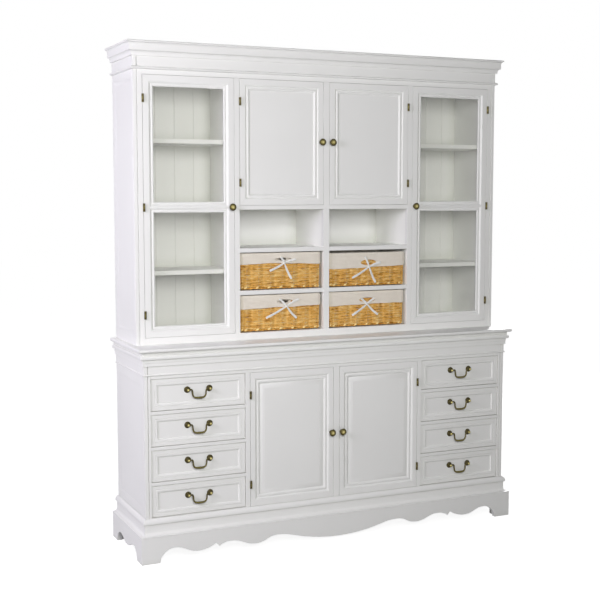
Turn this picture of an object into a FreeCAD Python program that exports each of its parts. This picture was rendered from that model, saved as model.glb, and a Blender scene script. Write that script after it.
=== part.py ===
import FreeCAD, Part
import math
import os
import re

# Buffet cabinet: a low cupboard with eight drawers and two doors carries a hutch with
# glazed doors, panelled doors, open cubbies and four wicker baskets.
# X runs to the right, Y to the back, Z up. The origin is on the floor, in the middle.

doc = FreeCAD.newDocument("BuffetCabinet")
sheet = doc.addObject("Spreadsheet::Sheet", "Sizes")

# Driving dimensions in millimetres.
DIMENSIONS = {
    # whole cabinet
    "total_height": 2200,
    "case_width": 1796,
    "base_depth": 436,
    "hutch_depth": 327,
    "base_height": 917,
    # boards
    "frame_thick": 22,
    "side_thick": 24,
    "board_thick": 18,
    "shelf_thick": 19,
    "partition_thick": 20,
    "back_thick": 8,
    "door_thick": 20,
    # plinth
    "plinth_height": 113,
    "plinth_out": 28,
    "apron_thick": 22,
    "block_side": 45,
    "ledger_height": 30,
    "ledger_depth": 36,
    "rear_rail_height": 70,
    "plinth_moulding_height": 77,
    "plinth_fillet": 5,
    "plinth_fillet_out": 29,
    "plinth_cove": 15,
    "plinth_neck": 30,
    "plinth_neck_out": 8,
    "plinth_bead_out": 15,
    "plinth_quirk": 3,
    # buffet top and the moulding under it
    "top_thick": 15.4,
    "top_out": 29,
    "under_top_height": 101.6,
    "small_bead": 8,
    "small_bead_out": 5,
    "frieze_out": 1.5,
    "base_frieze": 34,
    "step_height": 15,
    "step_out": 7,
    "quirk_height": 12,
    "quirk_out": 9,
    "torus_height": 18,
    "torus_out": 19,
    "recess_out": 12,
    # cornice
    "astragal": 13,
    "astragal_out": 12,
    "frieze_height": 42,
    "crown_fillet": 6,
    "crown_fillet_out": 9,
    "crown_cove": 15,
    "crown_band": 17,
    "crown_band_out": 21,
    "crown_step_out": 28,
    "cornice_out": 32,
    "lip_height": 9,
    "dust_board": 10,
    # face frames
    "base_outer_stile": 27.5,
    "base_inner_stile": 20.5,
    "base_door_opening": 406.6,
    "centre_stile": 28.8,
    "hutch_outer_stile": 39,
    "hutch_inner_stile": 24,
    "centre_bay_opening": 407.6,
    "groove_width": 4,
    "groove_depth": 4,
    "corner_bead": 14,
    "front_rail_top": 190,
    "base_top_rail": 13.2,
    "drawer_rail": 14,
    "hutch_bottom_rail": 31,
    "hutch_top_rail": 20,
    "cubby_rail": 19,
    "basket_opening": 169,
    "cubby_opening": 170,
    # side panels
    "side_front_stile": 45,
    "side_rear_stile": 32,
    "base_side_bottom_rail": 25,
    "base_side_top_rail": 36,
    "hutch_side_bottom_rail": 48,
    "hutch_side_top_rail": 32,
    "side_recess": 11,
    "side_slope": 12,
    "side_lip": 3,
    # doors
    "door_gap": 2,
    "hinge_gap": 3,
    "door_stile": 25,
    "door_rail": 27,
    "moulding_width": 26,
    "moulding_depth": 9,
    "moulding_step": 5,
    "moulding_bead": 1.5,
    "bevel_width": 18,
    "field_depth": 3,
    "panel_thick": 8,
    "glazed_stile": 31,
    "glazed_rail": 32,
    "glazed_middle_rail": 14,
    "glazed_moulding": 16,
    "glazed_bead_depth": 6,
    "glass_depth": 11,
    "glass_thick": 3,
    # hinges
    "hinge_height": 35,
    "hinge_inset": 97,
    "knuckle_radius": 5,
    "knuckle_gap": 0.3,
    "leaf_thick": 1.2,
    "leaf_depth": 14,
    "pin_radius": 1.5,
    "running_fit": 0.06,
    # knobs
    "knob_radius": 16,
    "knob_height": 22,
    "knob_stem_radius": 6,
    "knob_rose_radius": 10,
    "knob_rose": 2,
    "upper_knob_rise": 7,
    # drawers
    "drawer_gap": 2,
    "drawer_recess": 10,
    "drawer_board": 14,
    "drawer_length": 380,
    "drawer_side": 12,
    "drawer_bottom": 6,
    "drawer_bottom_rise": 8,
    "drawer_side_drop": 14,
    "seat_gap": 0.3,
    "drawer_moulding": 22,
    "drawer_crest_depth": 1,
    "drawer_edge_slope": 5,
    "drawer_inner_slope": 9,
    "runner_width": 15,
    # drawer handles
    "handle_spacing": 100,
    "handle_rise": 13.5,
    "rosette_radius": 13.5,
    "rosette_thick": 3,
    "rosette_dome": 3,
    "post_radius": 4.5,
    "post_head_radius": 7.5,
    "pivot_out": 15,
    "bail_wire_radius": 3.2,
    "bail_swell_radius": 4.4,
    "bail_drop": 38,
    "bail_inner_width": 60,
    "bail_top_bend": 9,
    "bail_bottom_bend": 11,
    # shelves
    "glazed_shelf_setback": 25,
    "base_shelf_setback": 40,
    "shelf_pin_radius": 3,
    "shelf_pin_length": 9,
    # back boards
    "back_board_groove": 3,
    # baskets
    "basket_side_gap": 6,
    "basket_setback": 10,
    "basket_depth": 270,
    "basket_height": 162,
    "basket_taper": 8,
    "basket_wall": 8,
    "basket_floor": 8,
    "liner_thick": 2.5,
    "liner_fold": 48,
    "bow_knot": 14,
    "bow_loop_length": 34,
    "bow_loop_height": 24,
    "bow_thick": 7,
    "bow_tail_length": 44,
    "bow_tail_width": 15,
    "bow_drop": 15,
}

# Corners of the scrolled lower edge of the front apron, from the middle to the foot:
# share of half the apron's length, share of its height, and the bend that leads there.
FRONT_APRON_SHARES = [
    (0.0, 0.124, "start", 0.0),
    (0.327, 0.496, "wave", 0.75),
    (0.437, 0.261, "wave", 0.5),
    (0.566, 0.504, "wave", 0.5),
    (0.623, 0.363, "leave_level", 0.0),
    (0.639, 0.496, "straight", 0.0),
    (0.726, 0.283, "arrive_level", 0.0),
    (0.842, 0.527, "wave", 0.5),
    (0.9125, 0.0, "leave_level", 0.0),
]
SIDE_APRON_SHARES = [
    (0.0, 0.239, "start", 0.0),
    (0.44, 0.46, "wave", 0.5),
    (0.67, 0.0, "leave_level", 0.0),
]

# Width of a full tongued back board, as a share of the width behind a glazed door.
BACK_BOARD_SHARE = 0.2068

NODES = []


def write_sheet():
    for row, (alias, length) in enumerate(DIMENSIONS.items(), start=1):
        sheet.set("A%d" % row, alias)
        sheet.set("B%d" % row, str(length))
        sheet.setAlias("B%d" % row, alias)
    doc.recompute()


def size(alias):
    return float(sheet.get(alias))


def bind(thing, prop, text):
    formula = re.sub(r"[a-z]\w+", lambda word: "Sizes." + word.group(0), str(text))
    thing.setExpression(prop, formula)


def negative(text):
    return "-(%s)" % text


def span(side, near, far):
    """Lowest and highest X of a stretch from near to far on the left or the right."""
    if side == "right":
        return near, far
    return negative(far), negative(near)


def at(side, place):
    return place if side == "right" else negative(place)


def move(thing, x, y, z, rotation=None):
    if rotation is not None:
        thing.Placement = FreeCAD.Placement(FreeCAD.Vector(), rotation)
    bind(thing, "Placement.Base.x", x)
    bind(thing, "Placement.Base.y", y)
    bind(thing, "Placement.Base.z", z)


def box(name, xs, ys, zs):
    board = doc.addObject("Part::Box", name)
    bind(board, "Length", "(%s) - (%s)" % (xs[1], xs[0]))
    bind(board, "Width", "(%s) - (%s)" % (ys[1], ys[0]))
    bind(board, "Height", "(%s) - (%s)" % (zs[1], zs[0]))
    move(board, xs[0], ys[0], zs[0])
    return board


def taper(name, axis, ends, first, last):
    """A block that changes from the rectangle first to the rectangle last along an axis.

    A rectangle is the low and high of the two other axes, in the order X, Y, Z.
    """
    block = doc.addObject("Part::Wedge", name)
    turn = {
        "x": FreeCAD.Rotation(FreeCAD.Vector(0, 0, 1), -90),
        "y": FreeCAD.Rotation(),
        "z": FreeCAD.Rotation(FreeCAD.Vector(1, 0, 0), 90),
    }[axis]
    for prefix, (low_a, high_a, low_b, high_b) in (("", first), ("2", last)):
        if axis == "x":
            low_a, high_a = negative(high_a), negative(low_a)
        if axis == "z":
            low_b, high_b = negative(high_b), negative(low_b)
        bind(block, "X%smin" % prefix, low_a)
        bind(block, "X%smax" % prefix, high_a)
        bind(block, "Z%smin" % prefix, low_b)
        bind(block, "Z%smax" % prefix, high_b)
    bind(block, "Ymin", ends[0])
    bind(block, "Ymax", ends[1])
    block.Placement = FreeCAD.Placement(FreeCAD.Vector(), turn)
    return block


AXIS_TURNS = {
    "x": FreeCAD.Rotation(FreeCAD.Vector(0, 1, 0), 90),
    "y": FreeCAD.Rotation(FreeCAD.Vector(1, 0, 0), -90),
    "z": FreeCAD.Rotation(),
}


def rod(name, axis, start, radius, length):
    cylinder = doc.addObject("Part::Cylinder", name)
    bind(cylinder, "Radius", radius)
    bind(cylinder, "Height", length)
    move(cylinder, *start, rotation=AXIS_TURNS[axis])
    return cylinder


def cone(name, axis, start, radius, end_radius, length):
    frustum = doc.addObject("Part::Cone", name)
    bind(frustum, "Radius1", radius)
    bind(frustum, "Radius2", end_radius)
    bind(frustum, "Height", length)
    move(frustum, *start, rotation=AXIS_TURNS[axis])
    return frustum


def cut(name, base, tool):
    result = doc.addObject("Part::Cut", name)
    result.Base = base
    result.Tool = tool
    return result


def fuse(name, shapes):
    result = doc.addObject("Part::MultiFuse", name)
    result.Shapes = shapes
    return result


def common(name, first, second):
    result = doc.addObject("Part::Common", name)
    result.Base = first
    result.Tool = second
    return result


def node(label, solids):
    group = doc.addObject("Part::Compound", label)
    if group.Label != label:
        raise RuntimeError("The name %s is taken twice" % label)
    group.Links = solids
    NODES.append(group)
    return group


# Planes and edges of the two cases that many pieces share.
HALF = "case_width / 2"
BACK = "(base_depth + top_out) / 2"
BASE_FRONT = "(%s - base_depth)" % BACK
HUTCH_FRONT = "(%s - hutch_depth)" % BACK
INNER = "(%s - side_thick)" % HALF
BACK_PANEL = "(%s - back_thick)" % BACK
BASE_INSIDE = "(%s + frame_thick)" % BASE_FRONT
HUTCH_INSIDE = "(%s + frame_thick)" % HUTCH_FRONT
TOP_BOARD = "(base_height - top_thick)"
UNDER_TOP = "(%s - under_top_height)" % TOP_BOARD

BASE_DOOR_EDGE = "(centre_stile / 2 + base_door_opening)"
DRAWER_EDGE = "(%s + base_inner_stile)" % BASE_DOOR_EDGE
DRAWER_FAR_EDGE = "(%s - base_outer_stile)" % HALF
BASE_TOP_RAIL = "(%s - base_top_rail)" % UNDER_TOP
DRAWER_OPENING = "((%s - front_rail_top - 3 * drawer_rail) / 4)" % BASE_TOP_RAIL

BAY_EDGE = "(centre_stile / 2 + centre_bay_opening)"
GLAZED_EDGE = "(%s + hutch_inner_stile)" % BAY_EDGE
GLAZED_FAR_EDGE = "(%s - hutch_outer_stile)" % HALF
HUTCH_FLOOR = "(base_height + hutch_bottom_rail)"
CORNICE_FOOT = ("(total_height - lip_height - crown_cove - crown_band - crown_cove"
                " - crown_fillet - frieze_height - astragal)")
HUTCH_CEILING = "(%s - hutch_top_rail)" % CORNICE_FOOT
CASE_TOP = "(%s + astragal + frieze_height)" % CORNICE_FOOT
BASKET_SHELVES = [
    HUTCH_FLOOR,
    "(%s + basket_opening + cubby_rail)" % HUTCH_FLOOR,
]
CUBBY_FLOOR = "(%s + basket_opening + cubby_rail)" % BASKET_SHELVES[1]
UPPER_DOOR_FOOT = "(%s + cubby_opening + cubby_rail)" % CUBBY_FLOOR


def drawer_foot(row):
    """Height of the foot of a drawer's opening; row 1 is the top one."""
    return "(front_rail_top + %d * (%s + drawer_rail))" % (4 - row, DRAWER_OPENING)


def quarter(start, end, steps, leaves):
    """Points of a quarter turn between two profile corners, leaving the first one level
    or upright."""
    points = []
    for step in range(1, steps):
        turn = math.pi / 2 * step / steps
        level_share = round(math.sin(turn), 5)
        upright_share = round(1 - math.cos(turn), 5)
        if leaves == "upright":
            level_share, upright_share = upright_share, level_share
        points.append((
            "(%s) + ((%s) - (%s)) * %s" % (start[0], end[0], start[0], level_share),
            "(%s) + ((%s) - (%s)) * %s" % (start[1], end[1], start[1], upright_share),
        ))
    return points + [end]


def bead(out, reach, low, high, steps=3):
    """Points of a round that swells from out to reach and back, between two heights."""
    crest = (reach, "((%s) + (%s)) / 2" % (low, high))
    points = [(out, low)]
    points += quarter((out, low), crest, steps, "level")
    points += quarter(crest, (out, high), steps, "upright")
    return points


def surround(name, profile, front):
    """Moulding that runs round the left, front and right of a case, mitred in three."""
    low, high = profile[0][1], profile[-1][1]
    reach = "(plinth_out + top_out + cornice_out)"
    outer = "(%s - %s)" % (front, reach)
    inner = "(%s + %s)" % (front, reach)

    def run(title, rectangle):
        slabs = []
        for number, (lower, upper) in enumerate(zip(profile, profile[1:])):
            if lower[1] != upper[1]:
                slabs.append(taper("%s_%s_slab_%d" % (name, title, number), "z",
                                   (lower[1], upper[1]), rectangle(lower[0]),
                                   rectangle(upper[0])))
        return fuse("%s_%s_run" % (name, title), slabs)

    def front_rectangle(out):
        return ("-%s - %s" % (HALF, reach), "%s + %s" % (HALF, reach),
                "(%s) - (%s)" % (front, out), front)

    narrow = "(%s - %s)" % (HALF, reach)
    wide = "(%s + %s)" % (HALF, reach)
    mitre = taper(name + "_front_mitre", "y", (outer, inner),
                  (negative(wide), wide, low, high), (negative(narrow), narrow, low, high))
    sticks = [common(name + "_front", run("front", front_rectangle), mitre)]
    for side in ("left", "right"):
        def side_rectangle(out):
            return span(side, HALF, "%s + (%s)" % (HALF, out)) + (outer, BACK)

        near_end = (inner, "(%s + %s)" % (BACK, reach), low, high)
        far_end = (outer, "(%s + %s)" % (BACK, reach), low, high)
        first, last = (near_end, far_end) if side == "right" else (far_end, near_end)
        mitre = taper("%s_%s_mitre" % (name, side), "x", span(side, narrow, wide), first, last)
        sticks.append(common("%s_%s" % (name, side), run(side, side_rectangle), mitre))
    return sticks


def groove_corners(name, sticks, front, out, zs):
    """Carries the grooves beside the case's corner beads on through a frieze."""
    near = "(corner_bead + groove_width - %s)" % out
    far = "(corner_bead - %s)" % out
    depths = ("(%s) - %s" % (front, out), front)
    grooves = [box("%s_%s_front_groove" % (name, side),
                   span(side, "%s - %s" % (HALF, near), "%s - %s" % (HALF, far)), depths, zs)
               for side in ("left", "right")]
    grooved = [cut(name + "_front_grooved", sticks[0], fuse(name + "_front_grooves", grooves))]
    for side, stick in zip(("left", "right"), sticks[1:]):
        groove = box("%s_%s_side_groove" % (name, side), span(side, HALF, "%s + %s" % (HALF, out)),
                     ("(%s) + %s" % (front, far), "(%s) + %s" % (front, near)), zs)
        grooved.append(cut("%s_%s_grooved" % (name, side), stick, groove))
    return grooved


def inset(edges, amount):
    return ("(%s) + (%s)" % (edges[0], amount), "(%s) - (%s)" % (edges[1], amount))


def facing_box(name, face, us, depths, zs):
    """A board in a wall: us run along the wall, depths run in from its outer face."""
    if face[0] == "front":
        ys = ("(%s) + (%s)" % (face[1], depths[0]), "(%s) + (%s)" % (face[1], depths[1]))
        return box(name, us, ys, zs)
    near = "(%s) - (%s)" % (face[1], depths[1])
    far = "(%s) - (%s)" % (face[1], depths[0])
    return box(name, span(face[0], near, far), us, zs)


def facing_taper(name, face, depths, outer, inner):
    """A block in a wall, from the rectangle outer near its face to inner further in."""
    first = outer[0] + outer[1]
    last = inner[0] + inner[1]
    if face[0] == "front":
        ends = ("(%s) + (%s)" % (face[1], depths[0]), "(%s) + (%s)" % (face[1], depths[1]))
        return taper(name, "y", ends, first, last)
    near = "(%s) - (%s)" % (face[1], depths[1])
    far = "(%s) - (%s)" % (face[1], depths[0])
    ends = span(face[0], near, far)
    if face[0] == "right":
        first, last = last, first
    return taper(name, "x", ends, first, last)


def stepped_moulding(name, face, us, zs):
    """Moulding inside a panelled door's frame: a step down, a bead and a step to the panel."""
    def rectangle(amount):
        return inset(us, amount), inset(zs, amount)

    half_width = "moulding_width / 2"
    slope_outer = facing_box(name + "_outer", face, us, ("moulding_bead", "moulding_depth"), zs)
    slope_hole = facing_taper(
        name + "_outer_hole", face, ("moulding_bead", "moulding_step"),
        rectangle("moulding_bead"), rectangle("moulding_width / 4"))
    slope_rest = facing_box(
        name + "_outer_rest", face, inset(us, "moulding_width / 4"),
        ("moulding_step", "moulding_depth"), inset(zs, "moulding_width / 4"))
    rim = cut(name + "_rim", slope_outer, fuse(name + "_rim_hole", [slope_hole, slope_rest]))
    bead_block = facing_taper(
        name + "_bead", face, ("moulding_bead", "moulding_step"),
        rectangle(half_width), rectangle("moulding_width / 4"))
    bead_base = facing_box(
        name + "_bead_base", face, inset(us, "moulding_width / 4"),
        ("moulding_step", "moulding_depth"), inset(zs, "moulding_width / 4"))
    inner = facing_taper(
        name + "_inner_hole", face, ("moulding_bead", "moulding_depth"),
        rectangle("moulding_width * 5 / 8"), rectangle("moulding_width"))
    solid = fuse(name + "_solid", [rim, bead_block, bead_base])
    return cut(name, solid, inner)


def plain_moulding(name, face, us, zs, profile):
    """Moulding whose inner edge only slopes inwards: profile lists inset and depth."""
    block = facing_box(name + "_block", face, us, (profile[0][1], profile[-1][1]), zs)
    holes = []
    for number, (first, last) in enumerate(zip(profile, profile[1:])):
        if first[1] == last[1]:
            continue
        holes.append(facing_taper(
            "%s_hole_%d" % (name, number), face, (first[1], last[1]),
            (inset(us, first[0]), inset(zs, first[0])),
            (inset(us, last[0]), inset(zs, last[0]))))
    hole = holes[0] if len(holes) == 1 else fuse(name + "_hole", holes)
    return cut(name, block, hole)


def frame_boards(name, face, us, zs, thick, stiles, rails):
    """Two stiles and the rails between them."""
    left_inner = "(%s) + (%s)" % (us[0], stiles[0])
    right_inner = "(%s) - (%s)" % (us[1], stiles[1])
    boards = [
        facing_box(name + "_left_stile", face, (us[0], left_inner), ("0", thick), zs),
        facing_box(name + "_right_stile", face, (right_inner, us[1]), ("0", thick), zs),
    ]
    for number, rail in enumerate(rails):
        boards.append(facing_box("%s_rail_%d" % (name, number), face,
                                 (left_inner, right_inner), ("0", thick), rail))
    return boards, (left_inner, right_inner)


def door_frame(name, us, zs, front, raised):
    face = ("front", front)
    low_rail = (zs[0], "(%s) + door_rail" % zs[0])
    high_rail = ("(%s) - door_rail" % zs[1], zs[1])
    boards, opening = frame_boards(name, face, us, zs, "door_thick",
                                   ("door_stile", "door_stile"), (low_rail, high_rail))
    heights = (low_rail[1], high_rail[0])
    moulding = stepped_moulding(name + "_moulding", face, opening, heights)
    panel = facing_box(name + "_panel_board", face, opening,
                       ("moulding_depth", "moulding_depth + panel_thick"), heights)
    if raised:
        foot = (inset(opening, "moulding_width"), inset(heights, "moulding_width"))
        reach = "moulding_width + bevel_width"
        field = (inset(opening, reach), inset(heights, reach))
        raise_block = facing_taper(name + "_field", face, ("field_depth", "moulding_depth"),
                                   field, foot)
        panel = fuse(name + "_panel", [panel, raise_block])
    return boards + [moulding, panel]


def glazed_frame(name, us, zs, front):
    face = ("front", front)
    middle = "((%s) + (%s)) / 2" % zs
    rails = (
        (zs[0], "(%s) + glazed_rail" % zs[0]),
        ("%s - glazed_middle_rail / 2" % middle, "%s + glazed_middle_rail / 2" % middle),
        ("(%s) - glazed_rail" % zs[1], zs[1]),
    )
    boards, opening = frame_boards(name, face, us, zs, "door_thick",
                                   ("glazed_stile", "glazed_stile"), rails)
    profile = [("moulding_bead", "0"), ("glazed_moulding * 3 / 4", "glazed_bead_depth"),
               ("glazed_moulding", "glazed_bead_depth"), ("glazed_moulding", "glass_depth")]
    panes = []
    for number, heights in enumerate(((rails[0][1], rails[1][0]), (rails[1][1], rails[2][0]))):
        boards.append(plain_moulding("%s_moulding_%d" % (name, number), face,
                                     opening, heights, profile))
        panes.append(facing_box("%s_pane_%d" % (name, number), face, opening,
                                ("glass_depth", "glass_depth + glass_thick"), heights))
        block = facing_box("%s_putty_block_%d" % (name, number), face, opening,
                           ("glass_depth + glass_thick", "door_thick"), heights)
        hole = facing_box("%s_putty_hole_%d" % (name, number), face,
                          inset(opening, "glazed_moulding * 3 / 4"),
                          ("glass_depth + glass_thick", "door_thick"),
                          inset(heights, "glazed_moulding * 3 / 4"))
        boards.append(cut("%s_glass_bead_%d" % (name, number), block, hole))
    return boards, panes


def hinge(name, opening, edge, middle, front):
    """One butt hinge: the leaf with the pin on the frame, and the leaf on the door.

    opening is the side of the edge on which the doorway lies, 1 for +X or -1 for -X.
    """
    axis_x = "(%s) + %d * hinge_gap / 2" % (edge, opening)
    axis_y = "(%s) - knuckle_radius - knuckle_gap" % front
    low = "(%s) - hinge_height / 2" % middle
    third = "hinge_height / 3"

    def leaf(title, from_edge, ys, zs):
        near = "(%s) + %d * (%s)" % (edge, opening, from_edge[0])
        far = "(%s) + %d * (%s)" % (edge, opening, from_edge[1])
        return box(title, (near, far) if opening > 0 else (far, near), ys, zs)

    plate_ys = ("(%s) + knuckle_gap" % front, "(%s) + leaf_depth" % front)
    neck_ys = (axis_y, plate_ys[0])
    frame_zone = ("0", "leaf_thick")
    door_zone = ("hinge_gap - leaf_thick", "hinge_gap")
    plate_zs = (low, "(%s) + hinge_height" % low)
    bands = [
        (low, "%s - knuckle_gap" % third),
        ("(%s) + 2 * %s + knuckle_gap" % (low, third), "%s - knuckle_gap" % third),
    ]
    frame_pieces = [leaf(name + "_frame_plate", frame_zone, plate_ys, plate_zs)]
    for number, (start, length) in enumerate(bands):
        zs = (start, "(%s) + (%s)" % (start, length))
        frame_pieces.append(leaf("%s_frame_neck_%d" % (name, number), frame_zone, neck_ys, zs))
        frame_pieces.append(rod("%s_frame_knuckle_%d" % (name, number), "z",
                                (axis_x, axis_y, start), "knuckle_radius", length))
    frame_pieces.append(rod(name + "_pin", "z", (axis_x, axis_y, low), "pin_radius",
                            "hinge_height"))
    frame_leaf = fuse(name + "_frame_leaf", frame_pieces)

    start = "(%s) + %s" % (low, third)
    door_pieces = [
        leaf(name + "_door_plate", door_zone, plate_ys, plate_zs),
        leaf(name + "_door_neck", door_zone, neck_ys, (start, "(%s) + %s" % (start, third))),
        rod(name + "_door_knuckle", "z", (axis_x, axis_y, start), "knuckle_radius", third),
    ]
    bore = rod(name + "_bore", "z", (axis_x, axis_y, low), "pin_radius + running_fit",
               "hinge_height")
    door_leaf = cut(name + "_door_leaf", fuse(name + "_door_solid", door_pieces), bore)
    return frame_leaf, door_leaf


def knob(name, x, z, front):
    """Round knob on a rose, standing out from the door's face."""
    def tip(distance):
        return "(%s) - (%s)" % (front, distance)

    neck = "knob_height * 5 / 11"
    rim = "knob_height * 3 / 22"
    swell = "knob_height * 5 / 22"
    pieces = [
        rod(name + "_rose", "y", (x, tip("knob_rose"), z), "knob_rose_radius", "knob_rose"),
        rod(name + "_stem", "y", (x, tip(neck), z), "knob_stem_radius", neck),
        cone(name + "_swell", "y", (x, tip("%s + %s" % (neck, swell)), z),
             "knob_radius", "knob_stem_radius", swell),
        rod(name + "_rim", "y", (x, tip("%s + %s + %s" % (neck, swell, rim)), z),
            "knob_radius", rim),
        cone(name + "_face", "y", (x, tip("knob_height"), z), "knob_radius * 2 / 3",
             "knob_radius", "knob_height - (%s) - (%s) - (%s)" % (neck, swell, rim)),
    ]
    return fuse(name, pieces)


def drawer(side, row):
    """A drawer box with its moulded front, its two handle posts and its bail."""
    name = "drawer_%s_%d" % (side, row)
    xs = span(side, DRAWER_EDGE, DRAWER_FAR_EDGE)
    low = drawer_foot(row)
    zs = (low, "%s + %s" % (low, DRAWER_OPENING))
    face = ("front", BASE_FRONT)
    front_xs = inset(xs, "drawer_gap")
    front_zs = inset(zs, "drawer_gap")
    back_of_front = "drawer_recess + drawer_board"
    solids = [facing_box(name + "_front", face, front_xs,
                         ("drawer_recess", back_of_front), front_zs)]

    def rectangle(amount):
        return inset(front_xs, amount), inset(front_zs, amount)

    outer = facing_taper(name + "_crest", face, ("drawer_crest_depth", "drawer_recess"),
                         rectangle("drawer_edge_slope"), rectangle("0"))
    hole = facing_taper(name + "_crest_hole", face, ("drawer_crest_depth", "drawer_recess"),
                        rectangle("drawer_moulding - drawer_inner_slope"),
                        rectangle("drawer_moulding"))
    solids.append(cut(name + "_moulding", outer, hole))

    side_zs = ("%s + seat_gap" % low, "%s - drawer_side_drop" % zs[1])
    box_xs = inset(xs, "drawer_gap")
    inner_xs = inset(box_xs, "drawer_side")
    depths = (back_of_front, "drawer_length")
    solids.append(facing_box(name + "_left_side", face, (box_xs[0], inner_xs[0]),
                             depths, side_zs))
    solids.append(facing_box(name + "_right_side", face, (inner_xs[1], box_xs[1]),
                             depths, side_zs))
    bottom_zs = ("(%s) + drawer_bottom_rise" % low,
                 "(%s) + drawer_bottom_rise + drawer_bottom" % low)
    solids.append(facing_box(name + "_bottom", face, inner_xs, depths, bottom_zs))
    solids.append(facing_box(name + "_back", face, inner_xs,
                             ("drawer_length - drawer_side", "drawer_length"),
                             (bottom_zs[1], side_zs[1])))
    node(name, solids)

    middle = "((%s) + (%s)) / 2" % xs
    height = "(%s) + %s / 2 + handle_rise" % (low, DRAWER_OPENING)
    field = "(%s) + drawer_recess" % BASE_FRONT
    pivot = "(%s) - pivot_out" % field
    posts = []
    for turn in (-1, 1):
        title = "%s_post_%s" % (name, "right" if turn > 0 else "left")
        x = "(%s) + %d * handle_spacing / 2" % (middle, turn)
        head = doc.addObject("Part::Sphere", title + "_head")
        bind(head, "Radius", "post_head_radius")
        move(head, x, pivot, height)
        post = fuse(title + "_solid", [
            rod(title + "_rosette", "y", (x, "(%s) - rosette_thick" % field, height),
                "rosette_radius", "rosette_thick"),
            cone(title + "_dome", "y",
                 (x, "(%s) - rosette_thick - rosette_dome" % field, height),
                 "post_radius * 3 / 2", "rosette_radius - rosette_dome", "rosette_dome"),
            rod(title + "_stem", "y", (x, pivot, height), "post_radius", "pivot_out"),
            head,
        ])
        depth = "post_head_radius + seat_gap"
        start = "(%s) - (%s)" % (x, depth) if turn > 0 else "(%s) - seat_gap" % x
        bore = rod(title + "_bore", "x", (start, pivot, height),
                   "bail_wire_radius + running_fit", "(%s) + seat_gap" % depth)
        posts.append(cut(title, post, bore))
    node(name + "_handle_posts", posts)
    node(name + "_bail", [bail(name + "_bail_wire", middle, pivot, height)])


def bail(name, middle, pivot, height):
    """Swan-necked bail: pins, shoulders, legs and a bar that swells to its middle."""
    leg = "bail_inner_width / 2"
    shoulder = "(%s) + bail_top_bend" % leg
    bar = "(%s) - bail_bottom_bend" % leg
    leg_foot = "bail_drop - bail_bottom_bend"
    pieces = []
    for turn, title in ((-1, "left"), (1, "right")):
        def along(distance):
            return "(%s) + %d * (%s)" % (middle, turn, distance)

        pin_start = along(shoulder) if turn > 0 else along("handle_spacing / 2")
        pieces.append(rod("%s_pin_%s" % (name, title), "x", (pin_start, pivot, height),
                          "bail_wire_radius", "handle_spacing / 2 - (%s)" % shoulder))
        pieces.append(rod("%s_leg_%s" % (name, title), "z",
                          (along(leg), pivot, "(%s) - (%s)" % (height, leg_foot)),
                          "bail_wire_radius", "(%s) - bail_top_bend" % leg_foot))
        top_start = 90 if turn > 0 else 0
        bottom_start = 270 if turn > 0 else 180
        pieces.append(bend("%s_shoulder_%s" % (name, title), top_start, "bail_top_bend",
                           (along(shoulder), pivot, "(%s) - bail_top_bend" % height)))
        pieces.append(bend("%s_heel_%s" % (name, title), bottom_start, "bail_bottom_bend",
                           (along(bar), pivot, "(%s) - (%s)" % (height, leg_foot))))
        drop = "(%s) - bail_drop" % height
        if turn > 0:
            pieces.append(cone("%s_bar_%s" % (name, title), "x", (middle, pivot, drop),
                               "bail_swell_radius", "bail_wire_radius", bar))
        else:
            pieces.append(cone("%s_bar_%s" % (name, title), "x", (along(bar), pivot, drop),
                               "bail_wire_radius", "bail_swell_radius", bar))
    return fuse(name, pieces)


def bend(name, start, radius, centre):
    """A quarter turn of the bail's wire in the plane of the drawer front."""
    elbow = doc.addObject("Part::Torus", name)
    bind(elbow, "Radius1", radius)
    bind(elbow, "Radius2", "bail_wire_radius")
    elbow.Angle3 = 90
    upright = FreeCAD.Rotation(FreeCAD.Vector(1, 0, 0), 90)
    turned = FreeCAD.Rotation(FreeCAD.Vector(0, 0, 1), start)
    move(elbow, *centre, rotation=upright.multiply(turned))
    return elbow


def scroll_edges(shares, half_length, height):
    """Edges of an apron's lower edge from the middle to a foot, in its own plane.

    A half_length below zero gives the left half.
    """
    edges = []
    previous = None
    for along_share, rise_share, bend_kind, turn_share in shares:
        point = FreeCAD.Vector(along_share * half_length, 0, rise_share * height)
        if bend_kind == "straight":
            edges.append(Part.makeLine(previous, point))
        elif bend_kind == "leave_level":
            edges.append(level_arc(previous, point))
        elif bend_kind == "arrive_level":
            edges.append(level_arc(point, previous))
        elif bend_kind == "wave":
            turn = previous + (point - previous) * turn_share
            edges.append(level_arc(previous, turn))
            edges.append(level_arc(point, turn))
        previous = point
    return edges


def level_arc(level_end, other_end):
    """Arc between two points that runs level at its first one."""
    run = other_end.x - level_end.x
    rise = other_end.z - level_end.z
    radius = (run * run + rise * rise) / (2 * rise)
    half_turn = math.atan2(rise, abs(run))
    middle = FreeCAD.Vector(level_end.x + math.copysign(radius * math.sin(half_turn), run),
                            level_end.y, level_end.z + radius * (1 - math.cos(half_turn)))
    return Part.Arc(level_end, middle, other_end).toShape()


def apron(name, shares, half_length, height, thick):
    """Board along X with a scrolled lower edge, its outer face at y = 0."""
    edges = []
    for reach in (-half_length, half_length):
        foot = FreeCAD.Vector(shares[-1][0] * reach, 0, 0)
        corner = FreeCAD.Vector(reach, 0, 0)
        edges += scroll_edges(shares, reach, height)
        edges.append(Part.makeLine(foot, corner))
        edges.append(Part.makeLine(corner, FreeCAD.Vector(reach, 0, height)))
    edges.append(Part.makeLine(FreeCAD.Vector(half_length, 0, height),
                               FreeCAD.Vector(-half_length, 0, height)))
    outline = Part.Wire(Part.__sortEdges__(edges))
    board = doc.addObject("Part::Feature", name)
    board.Shape = Part.Face(outline).extrude(FreeCAD.Vector(0, thick, 0))
    return board


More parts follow.
